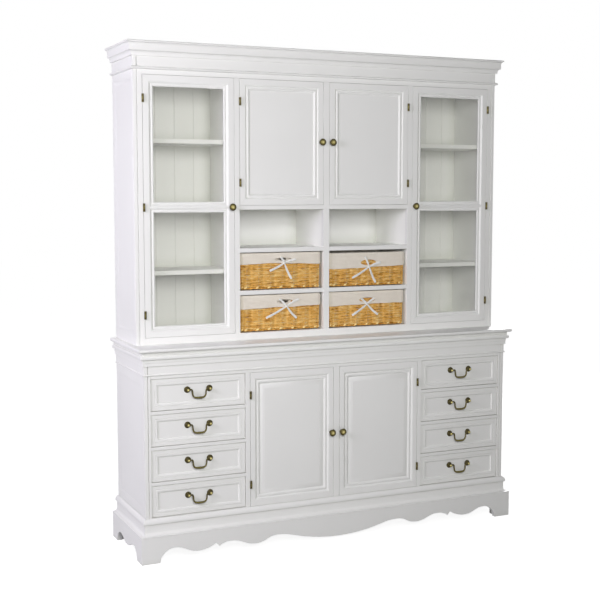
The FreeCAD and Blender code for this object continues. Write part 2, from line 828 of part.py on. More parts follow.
def plinth():
    half_front = size("case_width") / 2 + size("plinth_out")
    half_side = (size("base_depth") + size("plinth_out")) / 2
    thick = size("apron_thick")
    height = size("plinth_height")
    out = "plinth_out"
    front_face = "(%s - %s)" % (BASE_FRONT, out)
    inner_face = "(%s + apron_thick)" % front_face
    outer_x = "(%s + %s)" % (HALF, out)
    inner_x = "(%s - apron_thick)" % outer_x
    tall = ("0", "plinth_height")

    board = apron("front_apron_board", FRONT_APRON_SHARES, half_front, height, thick)
    bind(board, "Placement.Base.y", front_face)
    mitre = taper("front_apron_mitre", "y", (front_face, inner_face),
                  (negative(outer_x), outer_x) + tall, (negative(inner_x), inner_x) + tall)
    node("plinth_front_apron", [common("front_apron", board, mitre)])
    aprons = []
    solids = []
    for side, turn in (("left", 90), ("right", -90)):
        board = apron("%s_apron_board" % side, SIDE_APRON_SHARES, half_side, height, thick)
        move(board, at(side, outer_x), "(%s + %s) / 2" % (front_face, BACK), "0",
             rotation=FreeCAD.Rotation(FreeCAD.Vector(0, 0, 1), -turn))
        outer_end = (front_face, BACK) + tall
        inner_end = (inner_face, BACK) + tall
        ends = span(side, inner_x, outer_x)
        first, last = (outer_end, inner_end) if side == "left" else (inner_end, outer_end)
        mitre = taper("%s_apron_mitre" % side, "x", ends, first, last)
        aprons.append(common("%s_apron" % side, board, mitre))
        block_xs = span(side, "%s - block_side" % inner_x, inner_x)
        solids.append(box("%s_front_block" % side, block_xs,
                          (inner_face, "%s + block_side" % inner_face), tall))
        solids.append(box("%s_rear_block" % side, block_xs,
                          ("%s - apron_thick - block_side" % BACK, "%s - apron_thick" % BACK),
                          tall))
        ledger_xs = span(side, "%s - ledger_depth" % inner_x, inner_x)
        solids.append(box("%s_ledger" % side, ledger_xs,
                          ("%s + block_side" % inner_face,
                           "%s - apron_thick - block_side" % BACK),
                          ("plinth_height - ledger_height", "plinth_height")))
    block_edge = "(%s - block_side)" % inner_x
    solids.append(box("front_ledger", (negative(block_edge), block_edge),
                      (inner_face, "%s + ledger_depth" % inner_face),
                      ("plinth_height - ledger_height", "plinth_height")))
    solids.append(box("rear_rail", (negative(inner_x), inner_x),
                      ("%s - apron_thick" % BACK, BACK),
                      ("plinth_height - rear_rail_height", "plinth_height")))
    node("plinth_side_aprons", aprons)
    node("plinth_rails_and_blocks", solids)


def plinth_moulding():
    foot = "plinth_height"
    fillet_top = "%s + plinth_fillet" % foot
    cove_top = "%s + plinth_cove" % fillet_top
    neck_top = "%s + plinth_neck" % cove_top
    bead_foot = "%s + plinth_quirk" % neck_top
    top = "%s + plinth_moulding_height" % foot
    profile = [("plinth_fillet_out", foot), ("plinth_fillet_out", fillet_top)]
    profile += quarter(("plinth_out - plinth_quirk", fillet_top),
                       ("plinth_neck_out", cove_top), 5, "level")
    profile += [("plinth_neck_out", neck_top), ("plinth_bead_out - plinth_quirk / 2", bead_foot)]
    bulge = "(%s) + plinth_quirk" % bead_foot
    profile.append(("plinth_bead_out", bulge))
    profile += quarter(("plinth_bead_out", bulge), ("plinth_quirk / 6", top), 6, "upright")
    node("plinth_moulding", surround("plinth_band", profile, BASE_FRONT))


def buffet_top():
    middle = "(%s + top_thick / 2)" % TOP_BOARD
    slabs = []
    steps = 6
    nose = []
    for step in range(steps + 1):
        turn = math.pi * (step / steps - 1 / 2)
        out_share = round(math.cos(turn), 5)
        rise_share = round(math.sin(turn), 5)
        nose.append(("top_out - top_thick / 2 * (1 - %s)" % out_share,
                     "%s + top_thick / 2 * %s" % (middle, rise_share)))
    for number, (lower, upper) in enumerate(zip(nose, nose[1:])):
        rectangles = [
            ("-(%s) - (%s)" % (HALF, out), "(%s) + (%s)" % (HALF, out),
             "(%s) - (%s)" % (BASE_FRONT, out), BACK)
            for out, rise in (lower, upper)
        ]
        slabs.append(taper("top_slab_%d" % number, "z", (lower[1], upper[1]),
                           rectangles[0], rectangles[1]))
    board = fuse("top_board", slabs)

    foot = UNDER_TOP
    frieze_foot = "(%s + small_bead)" % foot
    frieze_top = "(%s + base_frieze)" % frieze_foot
    step_top = "(%s + step_height)" % frieze_top
    quirk_top = "(%s + quirk_height)" % step_top
    torus_top = "(%s + torus_height)" % quirk_top
    profile = bead("frieze_out", "small_bead_out", foot, frieze_foot)
    profile += [("frieze_out", frieze_top), ("step_out", frieze_top), ("step_out", step_top),
                ("quirk_out", step_top), ("quirk_out", quirk_top)]
    profile += bead("recess_out", "torus_out", quirk_top, torus_top)
    profile.append(("recess_out", TOP_BOARD))
    sticks = groove_corners("under_top", surround("under_top_band", profile, BASE_FRONT),
                            BASE_FRONT, "frieze_out", (frieze_foot, frieze_top))
    node("buffet_top", [board] + sticks)


def cornice():
    foot = CORNICE_FOOT
    frieze_foot = "(%s + astragal)" % foot
    frieze_top = "(%s + frieze_height)" % frieze_foot
    fillet_top = "(%s + crown_fillet)" % frieze_top
    cove_top = "(%s + crown_cove)" % fillet_top
    band_top = "(%s + crown_band)" % cove_top
    lip_foot = "(total_height - lip_height)"
    profile = bead("frieze_out", "astragal_out", foot, frieze_foot)
    profile += [("frieze_out", frieze_top), ("crown_fillet_out", frieze_top),
                ("crown_fillet_out", fillet_top)]
    profile += quarter(("crown_fillet_out", fillet_top), ("crown_band_out", cove_top), 4,
                       "upright")
    profile += [("crown_band_out", band_top)]
    profile += quarter(("crown_band_out", band_top), ("crown_step_out", lip_foot), 4,
                       "upright")
    profile += [("cornice_out - lip_height / 4", lip_foot),
                ("cornice_out", "%s + lip_height / 4" % lip_foot),
                ("cornice_out", "total_height - lip_height / 3"),
                ("cornice_out - lip_height / 4", "total_height")]
    sticks = groove_corners("crown", surround("crown_band", profile, HUTCH_FRONT),
                            HUTCH_FRONT, "frieze_out", (frieze_foot, frieze_top))
    sticks.append(box("dust_board", (negative(HALF), HALF), (HUTCH_FRONT, BACK),
                      (CASE_TOP, "%s + dust_board" % CASE_TOP)))
    node("cornice", sticks)


def beaded_stile(name, side, front, near, zs):
    """Outer stile of a face frame, with two grooves that mark off its corner bead."""
    xs = span(side, near, HALF)
    ys = (front, "(%s) + frame_thick" % front)
    stile = box(name + "_board", xs, ys, zs)
    middle = "(%s - corner_bead - groove_width / 2)" % HALF
    wide = span(side, "%s - groove_width / 2" % middle, "%s + groove_width / 2" % middle)
    narrow = span(side, "%s - groove_width / 8" % middle, "%s + groove_width / 8" % middle)
    groove = taper(name + "_groove", "y", (front, "(%s) + groove_depth" % front),
                   wide + zs, narrow + zs)
    middle = "((%s) + corner_bead + groove_width / 2)" % front
    outer = ("%s - groove_width / 2" % middle, "%s + groove_width / 2" % middle) + zs
    inner = ("%s - groove_width / 8" % middle, "%s + groove_width / 8" % middle) + zs
    first, last = (inner, outer) if side == "right" else (outer, inner)
    side_groove = taper(name + "_side_groove", "x", span(side, "%s - groove_depth" % HALF, HALF),
                        first, last)
    return cut(name, stile, fuse(name + "_grooves", [groove, side_groove]))


def rail_under(row):
    """Heights of the rail under a drawer."""
    return "%s - drawer_rail" % drawer_foot(row), drawer_foot(row)


def base_frame():
    ys = (BASE_FRONT, BASE_INSIDE)
    face = ("front", BASE_FRONT)
    full = ("plinth_height", TOP_BOARD)
    opening = ("front_rail_top", BASE_TOP_RAIL)
    solids = []
    for side in ("left", "right"):
        solids.append(beaded_stile("base_%s_corner_stile" % side, side, BASE_FRONT,
                                   DRAWER_FAR_EDGE, full))
        solids.append(box("base_%s_inner_stile" % side,
                          span(side, BASE_DOOR_EDGE, DRAWER_EDGE), ys, opening))
        for row in (1, 2, 3):
            solids.append(box("base_%s_rail_%d" % (side, row),
                              span(side, DRAWER_EDGE, DRAWER_FAR_EDGE), ys, rail_under(row)))
    across = (negative(DRAWER_FAR_EDGE), DRAWER_FAR_EDGE)
    solids.append(box("base_bottom_rail", across, ys, ("plinth_height", "front_rail_top")))
    solids.append(box("base_top_rail", across, ys, (BASE_TOP_RAIL, TOP_BOARD)))
    solids.append(facing_box("base_centre_stile", face,
                             ("-centre_stile / 2", "centre_stile / 2"),
                             ("0", "frame_thick"), opening))
    node("base_face_frame", solids)


def base_inside():
    floor_zs = ("front_rail_top - board_thick", "front_rail_top")
    inside_ys = (BASE_INSIDE, BACK_PANEL)
    solids = [box("base_floor", (negative(INNER), INNER), inside_ys, floor_zs)]
    for side in ("left", "right"):
        solids.append(box("base_%s_partition" % side,
                          span(side, BASE_DOOR_EDGE, DRAWER_EDGE), inside_ys,
                          ("front_rail_top", TOP_BOARD)))
        for row in (1, 2, 3):
            zs = rail_under(row)
            solids.append(box("%s_inner_runner_%d" % (side, row),
                              span(side, DRAWER_EDGE, "%s + runner_width" % DRAWER_EDGE),
                              inside_ys, zs))
            solids.append(box("%s_outer_runner_%d" % (side, row),
                              span(side, "%s - runner_width" % DRAWER_FAR_EDGE, INNER),
                              inside_ys, zs))
    shelf_foot = "((front_rail_top + %s) / 2 - shelf_thick / 2)" % BASE_TOP_RAIL
    solids.append(box("base_shelf", (negative(BASE_DOOR_EDGE), BASE_DOOR_EDGE),
                      ("%s + base_shelf_setback" % BASE_INSIDE, BACK_PANEL),
                      (shelf_foot, "%s + shelf_thick" % shelf_foot)))
    for title, ys in (("front", (BASE_INSIDE, "%s + board_thick * 4" % BASE_INSIDE)),
                      ("rear", ("%s - board_thick * 4" % BACK_PANEL, BACK_PANEL))):
        solids.append(box("base_%s_top_rail" % title,
                          (negative(BASE_DOOR_EDGE), BASE_DOOR_EDGE), ys,
                          ("%s - board_thick" % TOP_BOARD, TOP_BOARD)))
    solids.append(box("base_back", (negative(INNER), INNER), (BACK_PANEL, BACK),
                      ("plinth_height", TOP_BOARD)))
    node("base_inner_boards", solids)


def case_sides(label, front, zs, rails):
    """Two framed side panels; the face frame covers their front edges."""
    solids = []
    for side in ("left", "right"):
        face = (side, HALF)
        name = "%s_%s" % (label, side)
        us = ("(%s) + frame_thick" % front, BACK)
        boards, opening = frame_boards(
            name, face, us, zs, "side_thick",
            ("side_front_stile - frame_thick", "side_rear_stile"), rails)
        heights = (rails[0][1], rails[1][0])
        profile = [("side_lip", "0"), ("side_lip + side_slope", "side_recess")]
        boards.append(plain_moulding(name + "_moulding", face, opening, heights, profile))
        boards.append(facing_box(name + "_panel", face, opening,
                                 ("side_recess", "side_thick"), heights))
        solids += boards
    node(label, solids)


def hutch_frame():
    ys = (HUTCH_FRONT, HUTCH_INSIDE)
    solids = []
    opening = (HUTCH_FLOOR, HUTCH_CEILING)
    for side in ("left", "right"):
        solids.append(beaded_stile("hutch_%s_corner_stile" % side, side, HUTCH_FRONT,
                                   GLAZED_FAR_EDGE, ("base_height", CASE_TOP)))
        solids.append(box("hutch_%s_inner_stile" % side, span(side, BAY_EDGE, GLAZED_EDGE),
                          ys, opening))
        for number, foot in enumerate(rail_feet()):
            solids.append(box("hutch_%s_rail_%d" % (side, number),
                              span(side, "centre_stile / 2", BAY_EDGE), ys,
                              (foot, "%s + cubby_rail" % foot)))
    across = (negative(GLAZED_FAR_EDGE), GLAZED_FAR_EDGE)
    solids.append(box("hutch_bottom_rail", across, ys, ("base_height", HUTCH_FLOOR)))
    solids.append(box("hutch_top_rail", across, ys, (HUTCH_CEILING, CASE_TOP)))
    solids.append(box("hutch_centre_stile", ("-centre_stile / 2", "centre_stile / 2"),
                      ys, opening))
    node("hutch_face_frame", solids)


def rail_feet():
    return ["(%s + basket_opening)" % BASKET_SHELVES[0],
            "(%s + basket_opening)" % BASKET_SHELVES[1],
            "(%s + cubby_opening)" % CUBBY_FLOOR]


def hutch_inside():
    inside_ys = (HUTCH_INSIDE, BACK_PANEL)
    half_partition = "partition_thick / 2"
    bay_middle = "(%s + hutch_inner_stile / 2)" % BAY_EDGE
    near = "(%s - %s)" % (bay_middle, half_partition)
    far = "(%s + %s)" % (bay_middle, half_partition)
    solids = [
        box("hutch_floor", (negative(INNER), INNER), inside_ys,
            ("%s - board_thick" % HUTCH_FLOOR, HUTCH_FLOOR)),
        box("hutch_ceiling", (negative(INNER), INNER), inside_ys,
            (HUTCH_CEILING, "%s + board_thick" % HUTCH_CEILING)),
        box("hutch_centre_partition", ("-" + half_partition, half_partition), inside_ys,
            (HUTCH_FLOOR, HUTCH_CEILING)),
    ]
    for side in ("left", "right"):
        solids.append(box("hutch_%s_partition" % side, span(side, near, far), inside_ys,
                          (HUTCH_FLOOR, HUTCH_CEILING)))
    clear = "((%s) - (%s) - 3 * shelf_thick) / 4" % (HUTCH_CEILING, HUTCH_FLOOR)
    for side in ("left", "right"):
        for number, foot in enumerate(rail_feet()):
            solids.append(box("cubby_%s_shelf_%d" % (side, number),
                              span(side, half_partition, near), inside_ys,
                              (foot, "%s + cubby_rail" % foot)))
        for number in (1, 2, 3):
            foot = "(%s + %d * (%s) + %d * shelf_thick)" % (HUTCH_FLOOR, number, clear, number - 1)
            solids.append(box("glazed_%s_shelf_%d" % (side, number), span(side, far, INNER),
                              ("%s + glazed_shelf_setback" % HUTCH_INSIDE, BACK_PANEL),
                              (foot, "%s + shelf_thick" % foot)))
    node("hutch_inner_boards", solids)

    boards = [box("centre_back", (negative(bay_middle), bay_middle), (BACK_PANEL, BACK),
                  ("base_height", CASE_TOP))]
    groove = "back_board_groove / 2"
    behind = "(%s - %s)" % (INNER, bay_middle)
    for side in ("left", "right"):
        for number in range(5):
            start = "(%s + %s * %s)" % (bay_middle, round(number * BACK_BOARD_SHARE, 4), behind)
            end = "(%s + %s * %s)" % (start, BACK_BOARD_SHARE, behind) if number < 4 else INNER
            face_xs = span(side, "%s + %s" % (start, groove), "%s - %s" % (end, groove))
            back_xs = span(side, start, end)
            tall = ("base_height", CASE_TOP)
            groove_foot = "%s + %s" % (BACK_PANEL, groove)
            name = "back_board_%s_%d" % (side, number + 1)
            bevel = taper(name + "_bevel", "y", (BACK_PANEL, groove_foot),
                          face_xs + tall, back_xs + tall)
            rest = box(name + "_rest", back_xs, (groove_foot, BACK), tall)
            boards.append(fuse(name, [bevel, rest]))
    node("hutch_back_boards", boards)


def doors():
    """Six inset doors with their knobs and hinges."""
    frame_leaves = []

    def hang(name, side, near, far, zs, front, hinge_at, heights, make, knob_from, knob_z):
        """near and far are the doorway's edges from the middle of the cabinet."""
        if hinge_at == "far":
            near_gap, far_gap = "door_gap", "hinge_gap"
            edge, opening = at(side, far), (-1 if side == "right" else 1)
        else:
            near_gap, far_gap = "hinge_gap", "door_gap"
            edge, opening = at(side, near), (1 if side == "right" else -1)
        us = span(side, "(%s) + %s" % (near, near_gap), "(%s) - %s" % (far, far_gap))
        door_zs = inset(zs, "door_gap")
        make(name, us, door_zs, front)
        fittings = [knob(name + "_knob", at(side, knob_from), knob_z, front)]
        for number, height in enumerate(heights):
            frame_leaf, door_leaf = hinge("%s_hinge_%d" % (name, number), opening, edge,
                                          height, front)
            frame_leaves.append(frame_leaf)
            fittings.append(door_leaf)
        node(name + "_fittings", fittings)

    def ends(zs):
        return ["(%s) + door_gap + hinge_inset" % zs[0],
                "(%s) - door_gap - hinge_inset" % zs[1]]

    def plain(name, us, zs, front):
        node(name, door_frame(name + "_leaf", us, zs, front, False))

    def raised(name, us, zs, front):
        node(name, door_frame(name + "_leaf", us, zs, front, True))

    def glazed(name, us, zs, front):
        boards, panes = glazed_frame(name + "_leaf", us, zs, front)
        node(name, boards)
        node(name + "_glass", panes)

    base_zs = ("front_rail_top", BASE_TOP_RAIL)
    upper_zs = (UPPER_DOOR_FOOT, HUTCH_CEILING)
    glazed_zs = (HUTCH_FLOOR, HUTCH_CEILING)
    near_knob = "(centre_stile / 2 + door_gap + door_stile * 2 / 5)"
    glazed_middle = "((%s) + (%s)) / 2" % glazed_zs
    for side in ("left", "right"):
        hang("base_door_" + side, side, "centre_stile / 2", BASE_DOOR_EDGE, base_zs,
             BASE_FRONT, "far", ends(base_zs), raised, near_knob,
             "(front_rail_top + %s) / 2" % BASE_TOP_RAIL)
        hang("upper_door_" + side, side, "centre_stile / 2", BAY_EDGE, upper_zs,
             HUTCH_FRONT, "far", ends(upper_zs), plain, near_knob,
             "((%s) + (%s)) / 2 + upper_knob_rise" % upper_zs)
        hang("glazed_door_" + side, side, GLAZED_EDGE, GLAZED_FAR_EDGE, glazed_zs,
             HUTCH_FRONT, "far", ends(glazed_zs) + [glazed_middle], glazed,
             "(%s + door_gap + glazed_stile * 2 / 5)" % GLAZED_EDGE, glazed_middle)
    for side in ("left", "right"):
        for depth in ("board_thick * 6", "board_thick * 16"):
            name = "%s_shelf_pin_%d" % (side, len(frame_leaves))
            pin_z = "(front_rail_top + %s) / 2 - shelf_thick / 2 - shelf_pin_radius" % BASE_TOP_RAIL
            x = BASE_DOOR_EDGE + " - shelf_pin_length" if side == "right" else negative(BASE_DOOR_EDGE)
            frame_leaves.append(rod(name, "x", (x, "%s + %s" % (BASE_INSIDE, depth), pin_z),
                                    "shelf_pin_radius", "shelf_pin_length"))
    node("frame_hinge_leaves", frame_leaves)


def basket(side, row):
    """A wicker tub, and the cloth that lines it and folds over its rim, with a bow."""
    name = "basket_%s_%d" % (side, row)
    foot = "%s + seat_gap" % BASKET_SHELVES[2 - row]
    top = "(%s) + basket_height" % foot
    xs = inset(span(side, "centre_stile / 2", BAY_EDGE), "basket_side_gap")
    front = "(%s + basket_setback)" % HUTCH_FRONT
    ys = (front, "%s + basket_depth" % front)

    def plan(amount):
        return inset(xs, amount) + inset(ys, amount)

    tub = taper(name + "_tub", "z", (foot, top), plan("basket_taper"), plan("0"))
    wall = "basket_wall"
    cavity_foot = "(%s) + basket_floor" % foot
    cavity = taper(name + "_cavity", "z", (cavity_foot, top),
                   plan("basket_taper + %s" % wall), plan(wall))
    tub_solid = cut(name + "_wicker", tub, cavity)
    node(name, [tub_solid])

    fold_foot = "(%s) - liner_fold" % top
    liner_top = "(%s) + liner_thick" % top
    skin = "liner_thick"
    outer = box(name + "_fold_block", inset(xs, negative(skin)), inset(ys, negative(skin)),
                (fold_foot, liner_top))
    filling = taper(name + "_filling", "z", (cavity_foot, top),
                    plan("basket_taper + %s" % wall), plan(wall))
    solid_tub = taper(name + "_tub_space", "z", (foot, top), plan("basket_taper"), plan("0"))
    space_foot = "(%s) + liner_thick" % cavity_foot
    space = taper(name + "_space", "z", (space_foot, liner_top),
                  plan("basket_taper + %s + %s" % (wall, skin)), plan("%s + %s" % (wall, skin)))
    shell = cut(name + "_fold", outer, solid_tub)
    lining = cut(name + "_lining", fuse(name + "_cloth", [shell, filling]), space)
    node(name + "_liner", [lining, bow(name + "_bow", xs, front, liner_top)])


def bow(name, xs, front, liner_top):
    """Flat bow in front of the fold: a knot, two loops and two tails."""
    middle = "((%s) + (%s)) / 2" % xs
    back = "%s - liner_thick" % front
    ys = ("%s - bow_thick" % back, back)
    height = "(%s) - bow_drop" % liner_top
    half_knot = "bow_knot / 2"
    pieces = [box(name + "_knot", inset((middle, middle), negative(half_knot)), ys,
                  inset((height, height), negative(half_knot)))]
    near_zs = inset((height, height), negative(half_knot))
    far_zs = inset((height, height), "-bow_loop_height / 2")
    for side in ("left", "right"):
        near = half_knot
        far = "%s + bow_loop_length" % half_knot
        if side == "right":
            ends = ("(%s) + %s" % (middle, near), "(%s) + %s" % (middle, far))
            zones = (ys + near_zs, ys + far_zs)
        else:
            ends = ("(%s) - (%s)" % (middle, far), "(%s) - (%s)" % (middle, near))
            zones = (ys + far_zs, ys + near_zs)
        pieces.append(taper("%s_%s_loop" % (name, side), "x", ends, *zones))
        turn = 1 if side == "right" else -1
        tail_zs = ("(%s) - %s - bow_tail_length" % (height, half_knot),
                   "(%s) - %s" % (height, half_knot))
        foot_middle = "(%s) + %d * bow_tail_width" % (middle, turn)
        head_middle = "(%s) + %d * bow_tail_width / 4" % (middle, turn)
        half_tail = "bow_tail_width / 2"
        pieces.append(taper("%s_%s_tail" % (name, side), "z", tail_zs,
                            inset((foot_middle, foot_middle), negative(half_tail)) + ys,
                            inset((head_middle, head_middle), "-bow_tail_width / 4") + ys))
    return fuse(name, pieces)


def build():
    write_sheet()
    plinth()
    plinth_moulding()
    base_frame()
    base_inside()
    base_rails = (
        ("plinth_height", "front_rail_top + base_side_bottom_rail"),
        ("%s - base_side_top_rail" % UNDER_TOP, TOP_BOARD),
    )
    case_sides("base_sides", BASE_FRONT, ("plinth_height", TOP_BOARD), base_rails)
    buffet_top()
    hutch_frame()
    hutch_inside()
    hutch_rails = (
        ("base_height", "base_height + hutch_side_bottom_rail"),
        ("%s - hutch_side_top_rail" % CORNICE_FOOT, CASE_TOP),
    )
    case_sides("hutch_sides", HUTCH_FRONT, ("base_height", CASE_TOP), hutch_rails)
    cornice()
    doors()
    for side in ("left", "right"):
        for row in (1, 2, 3, 4):
            drawer(side, row)
        for row in (1, 2):
            basket(side, row)
    doc.recompute()


def write_parts():
    broken = [thing.Label for thing in doc.Objects
              if "Invalid" in thing.State or "Error" in thing.State]
    broken += [thing.Label for thing in NODES if thing.Shape.isNull()]
    broken += [thing.Label for thing in NODES
               if not thing.Shape.isNull() and not thing.Shape.isValid()]
    if broken:
        raise RuntimeError("These pieces failed: " + ", ".join(broken))
    os.makedirs("parts", exist_ok=True)
    for thing in NODES:
        thing.Shape.exportStep(os.path.join("parts", thing.Label + ".step"))
        print(thing.Label, "solids", len(thing.Shape.Solids),
              "volume", round(thing.Shape.Volume))


build()
write_parts()
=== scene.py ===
import math
import random

import bmesh
import bpy
from mathutils import Matrix, Vector


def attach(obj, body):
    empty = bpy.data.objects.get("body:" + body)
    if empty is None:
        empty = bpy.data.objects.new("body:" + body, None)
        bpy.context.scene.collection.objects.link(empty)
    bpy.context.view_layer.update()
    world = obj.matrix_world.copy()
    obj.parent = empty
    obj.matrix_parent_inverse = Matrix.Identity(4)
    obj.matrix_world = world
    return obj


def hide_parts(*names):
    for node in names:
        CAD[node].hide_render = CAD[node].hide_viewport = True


# A tall painted dresser with aged brass fittings, glass doors and four lined wicker baskets.
# Lengths are millimetres here, and become metres where a piece is made.

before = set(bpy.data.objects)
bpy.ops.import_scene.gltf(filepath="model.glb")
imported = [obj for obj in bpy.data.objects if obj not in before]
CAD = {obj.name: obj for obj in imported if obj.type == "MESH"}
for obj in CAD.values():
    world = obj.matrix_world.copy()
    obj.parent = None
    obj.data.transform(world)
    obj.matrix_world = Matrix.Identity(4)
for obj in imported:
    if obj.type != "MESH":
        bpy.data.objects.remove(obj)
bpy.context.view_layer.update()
MM = 0.001
SIDES = (("left", -1), ("right", 1))
ROWS = (1, 2, 3, 4)
# Metres within which places count as one, and within which they are merged.
NEAR, MERGE = 1e-5, 1e-6


# Shaping by hand

def alone(piece):
    """Leaves one piece selected and active."""
    bpy.ops.object.select_all(action="DESELECT")
    piece.select_set(True)
    bpy.context.view_layer.objects.active = piece


def open_up(piece, kind="FACE"):
    """Starts the editing of a piece, with nothing in it selected."""
    alone(piece)
    bpy.ops.object.mode_set(mode="EDIT")
    bpy.ops.mesh.select_mode(type=kind)
    bpy.ops.mesh.select_all(action="DESELECT")


def close_up():
    bpy.ops.object.mode_set(mode="OBJECT")


def placed(name, data):
    """A new object in the scene, at the origin."""
    piece = bpy.data.objects.new(name, data)
    bpy.context.scene.collection.objects.link(piece)
    return piece


def started(name, add, **where):
    """A new primitive, with its place and size in its mesh."""
    bpy.ops.object.select_all(action="DESELECT")
    add(**where)
    piece = bpy.context.object
    piece.name = piece.data.name = name
    bpy.ops.object.transform_apply(location=True, rotation=True, scale=True)
    return piece


def pick(piece, kind, test):
    """Selects the verts, edges or faces that pass a test, and nothing else."""
    shape = bmesh.from_edit_mesh(piece.data)
    for things in (shape.faces, shape.edges, shape.verts):
        for thing in things:
            thing.select = False
    for thing in getattr(shape, kind):
        if test(thing):
            thing.select_set(True)
    shape.select_flush_mode()
    bmesh.update_edit_mesh(piece.data)


def pick_all():
    bpy.ops.mesh.select_all(action="SELECT")


def pick_side(piece, way):
    """Selects the faces that look to the front, for -1, or to the back, for 1."""
    pick(piece, "faces", lambda face: face.normal.y * way >= 0.99)


def block(name, xs, ys, zs):
    """A block from its span each way."""
    low, high = (Vector(corner) * MM for corner in zip(xs, ys, zs))
    return started(name, bpy.ops.mesh.primitive_cube_add, size=1,
                   location=(low + high) / 2, scale=high - low)


LEAST_INSET = 0.01


def sink(rings):
    """Works the selected face inwards in rings: each is an inset and a depth."""
    before = (0, 0)
    for ring in rings:
        bpy.ops.mesh.inset(thickness=max(ring[0] - before[0], LEAST_INSET) * MM,
                           depth=-(ring[1] - before[1]) * MM, use_even_offset=True)
        before = ring


def evenly(share):
    return share


def soft_end(share):
    return math.sin(math.pi / 2 * share)


def soft_start(share):
    return 1 - math.cos(math.pi / 2 * share)


def soft_both(share):
    return (1 - math.cos(math.pi * share)) / 2


# How the inset and the depth go from ring to ring: an S curve, a slope that ends level, and
# quarter rounds that leave the ring before them level or upright.
BENDS = {"wave": (evenly, soft_both), "slope": (evenly, soft_end),
         "level": (soft_end, soft_start), "upright": (soft_start, soft_end)}


def profile(*stops):
    """Rings through stops: each has an inset and a depth, and may have a bend and its steps."""
    rings = []
    for inset, depth, *bend in stops:
        if not bend:
            rings.append((inset, depth))
            continue
        (along, down), steps = BENDS[bend[0]], bend[1]
        before = rings[-1]
        rings += [(before[0] + (inset - before[0]) * along(step / steps),
                   before[1] + (depth - before[1]) * down(step / steps))
                  for step in range(1, steps + 1)]
    return rings


def marked(piece, title, kind, domain, values):
    """Gives a piece an attribute with a value for each face or corner."""
    mark = piece.data.attributes.new(title, kind, domain)
    mark.data.foreach_set("value", values)


def joined(name, pieces):
    """Joins pieces, and numbers the faces of each as one board."""
    for number, piece in enumerate(pieces):
        marked(piece, "board", "INT", "FACE", [number] * len(piece.data.polygons))
    alone(pieces[0])
    for piece in pieces:
        piece.select_set(True)
    if len(pieces) > 1:
        bpy.ops.object.join()
    whole = bpy.context.object
    whole.name = whole.data.name = name
    return whole


def soft_shaded(piece, angle):
    """Shades a piece smooth, but for edges sharper than some degrees."""
    alone(piece)
    bpy.ops.object.shade_smooth_by_angle(angle=math.radians(angle))
    return piece


def modified(piece, kind, **settings):
    """Puts a modifier with its settings on a piece and applies it."""
    alone(piece)
    change = piece.modifiers.new(kind, kind)
    for name, value in settings.items():
        setattr(change, name, value)
    bpy.ops.object.modifier_apply(modifier=change.name)
    return piece


def rounded(piece, width, angle=32):
    """Rounds the sharp edges, and keeps broad faces flat in their shading."""
    return modified(soft_shaded(piece, angle), "BEVEL", width=width * MM, segments=2,
                    limit_method="ANGLE", angle_limit=math.radians(angle),
                    use_clamp_overlap=False, harden_normals=True)


def smoothed(piece, angle):
    """Soft shading that follows the broad faces."""
    return modified(soft_shaded(piece, angle), "WEIGHTED_NORMAL", keep_sharp=True)


def copied(piece, name, shift):
    """A copy with its own mesh, moved inside that mesh."""
    twin = placed(name, piece.data.copy())
    twin.data.name = name
    twin.data.transform(Matrix.Translation(Vector(shift) * MM))
    return twin


# How far the paint's pattern moves on from board to board and from side to side, in metres.
BOARD_STEP, SIDE_STEP = (0.37, 0.61), 0.13


def run_map(piece):
    """Lays a map along each board: the first way along its length, in metres."""
    mesh = piece.data
    boards = [mark.value for mark in mesh.attributes["board"].data]
    reach = {}
    for face, board in zip(mesh.polygons, boards):
        low, high = reach.setdefault(board, ([1e9] * 3, [-1e9] * 3))
        for corner in face.vertices:
            place = mesh.vertices[corner].co
            for axis in range(3):
                low[axis] = min(low[axis], place[axis])
                high[axis] = max(high[axis], place[axis])
    layer = mesh.uv_layers.new(name="run")
    for face, board in zip(mesh.polygons, boards):
        lengths = [high - low for low, high in zip(*reach[board])]
        along = lengths.index(max(lengths))
        steep = max((axis for axis in range(3) if axis != along),
                    key=lambda axis: abs(face.normal[axis]))
        across = 3 - along - steep
        for loop in face.loop_indices:
            place = mesh.vertices[mesh.loops[loop].vertex_index].co
            layer.data[loop].uv = (place[along] + BOARD_STEP[0] * board,
                                   place[across] + BOARD_STEP[1] * board + SIDE_STEP * steep)


def settle(piece, body, finish, replaces=()):
    """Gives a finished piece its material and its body."""
    piece.data.materials.clear()
    piece.data.materials.append(finish)
    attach(piece, body)
    if replaces:
        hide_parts(*replaces)


def solids_of(mesh):
    """Numbers the triangles of a CAD mesh solid by solid.

    The edges of one solid have all met their twins before the next one begins.
    """
    numbers, waiting, number = [], {}, 0
    for triangle in mesh.polygons:
        corners = [tuple(round(c, 6) for c in mesh.vertices[v].co) for v in triangle.vertices]
        for first, last in zip(corners, corners[1:] + corners[:1]):
            if waiting.get((last, first), 0):
                waiting[last, first] -= 1
                if not waiting[last, first]:
                    del waiting[last, first]
            else:
                waiting[first, last] = waiting.get((first, last), 0) + 1
        numbers.append(number)
        if not waiting:
            number += 1
    return numbers


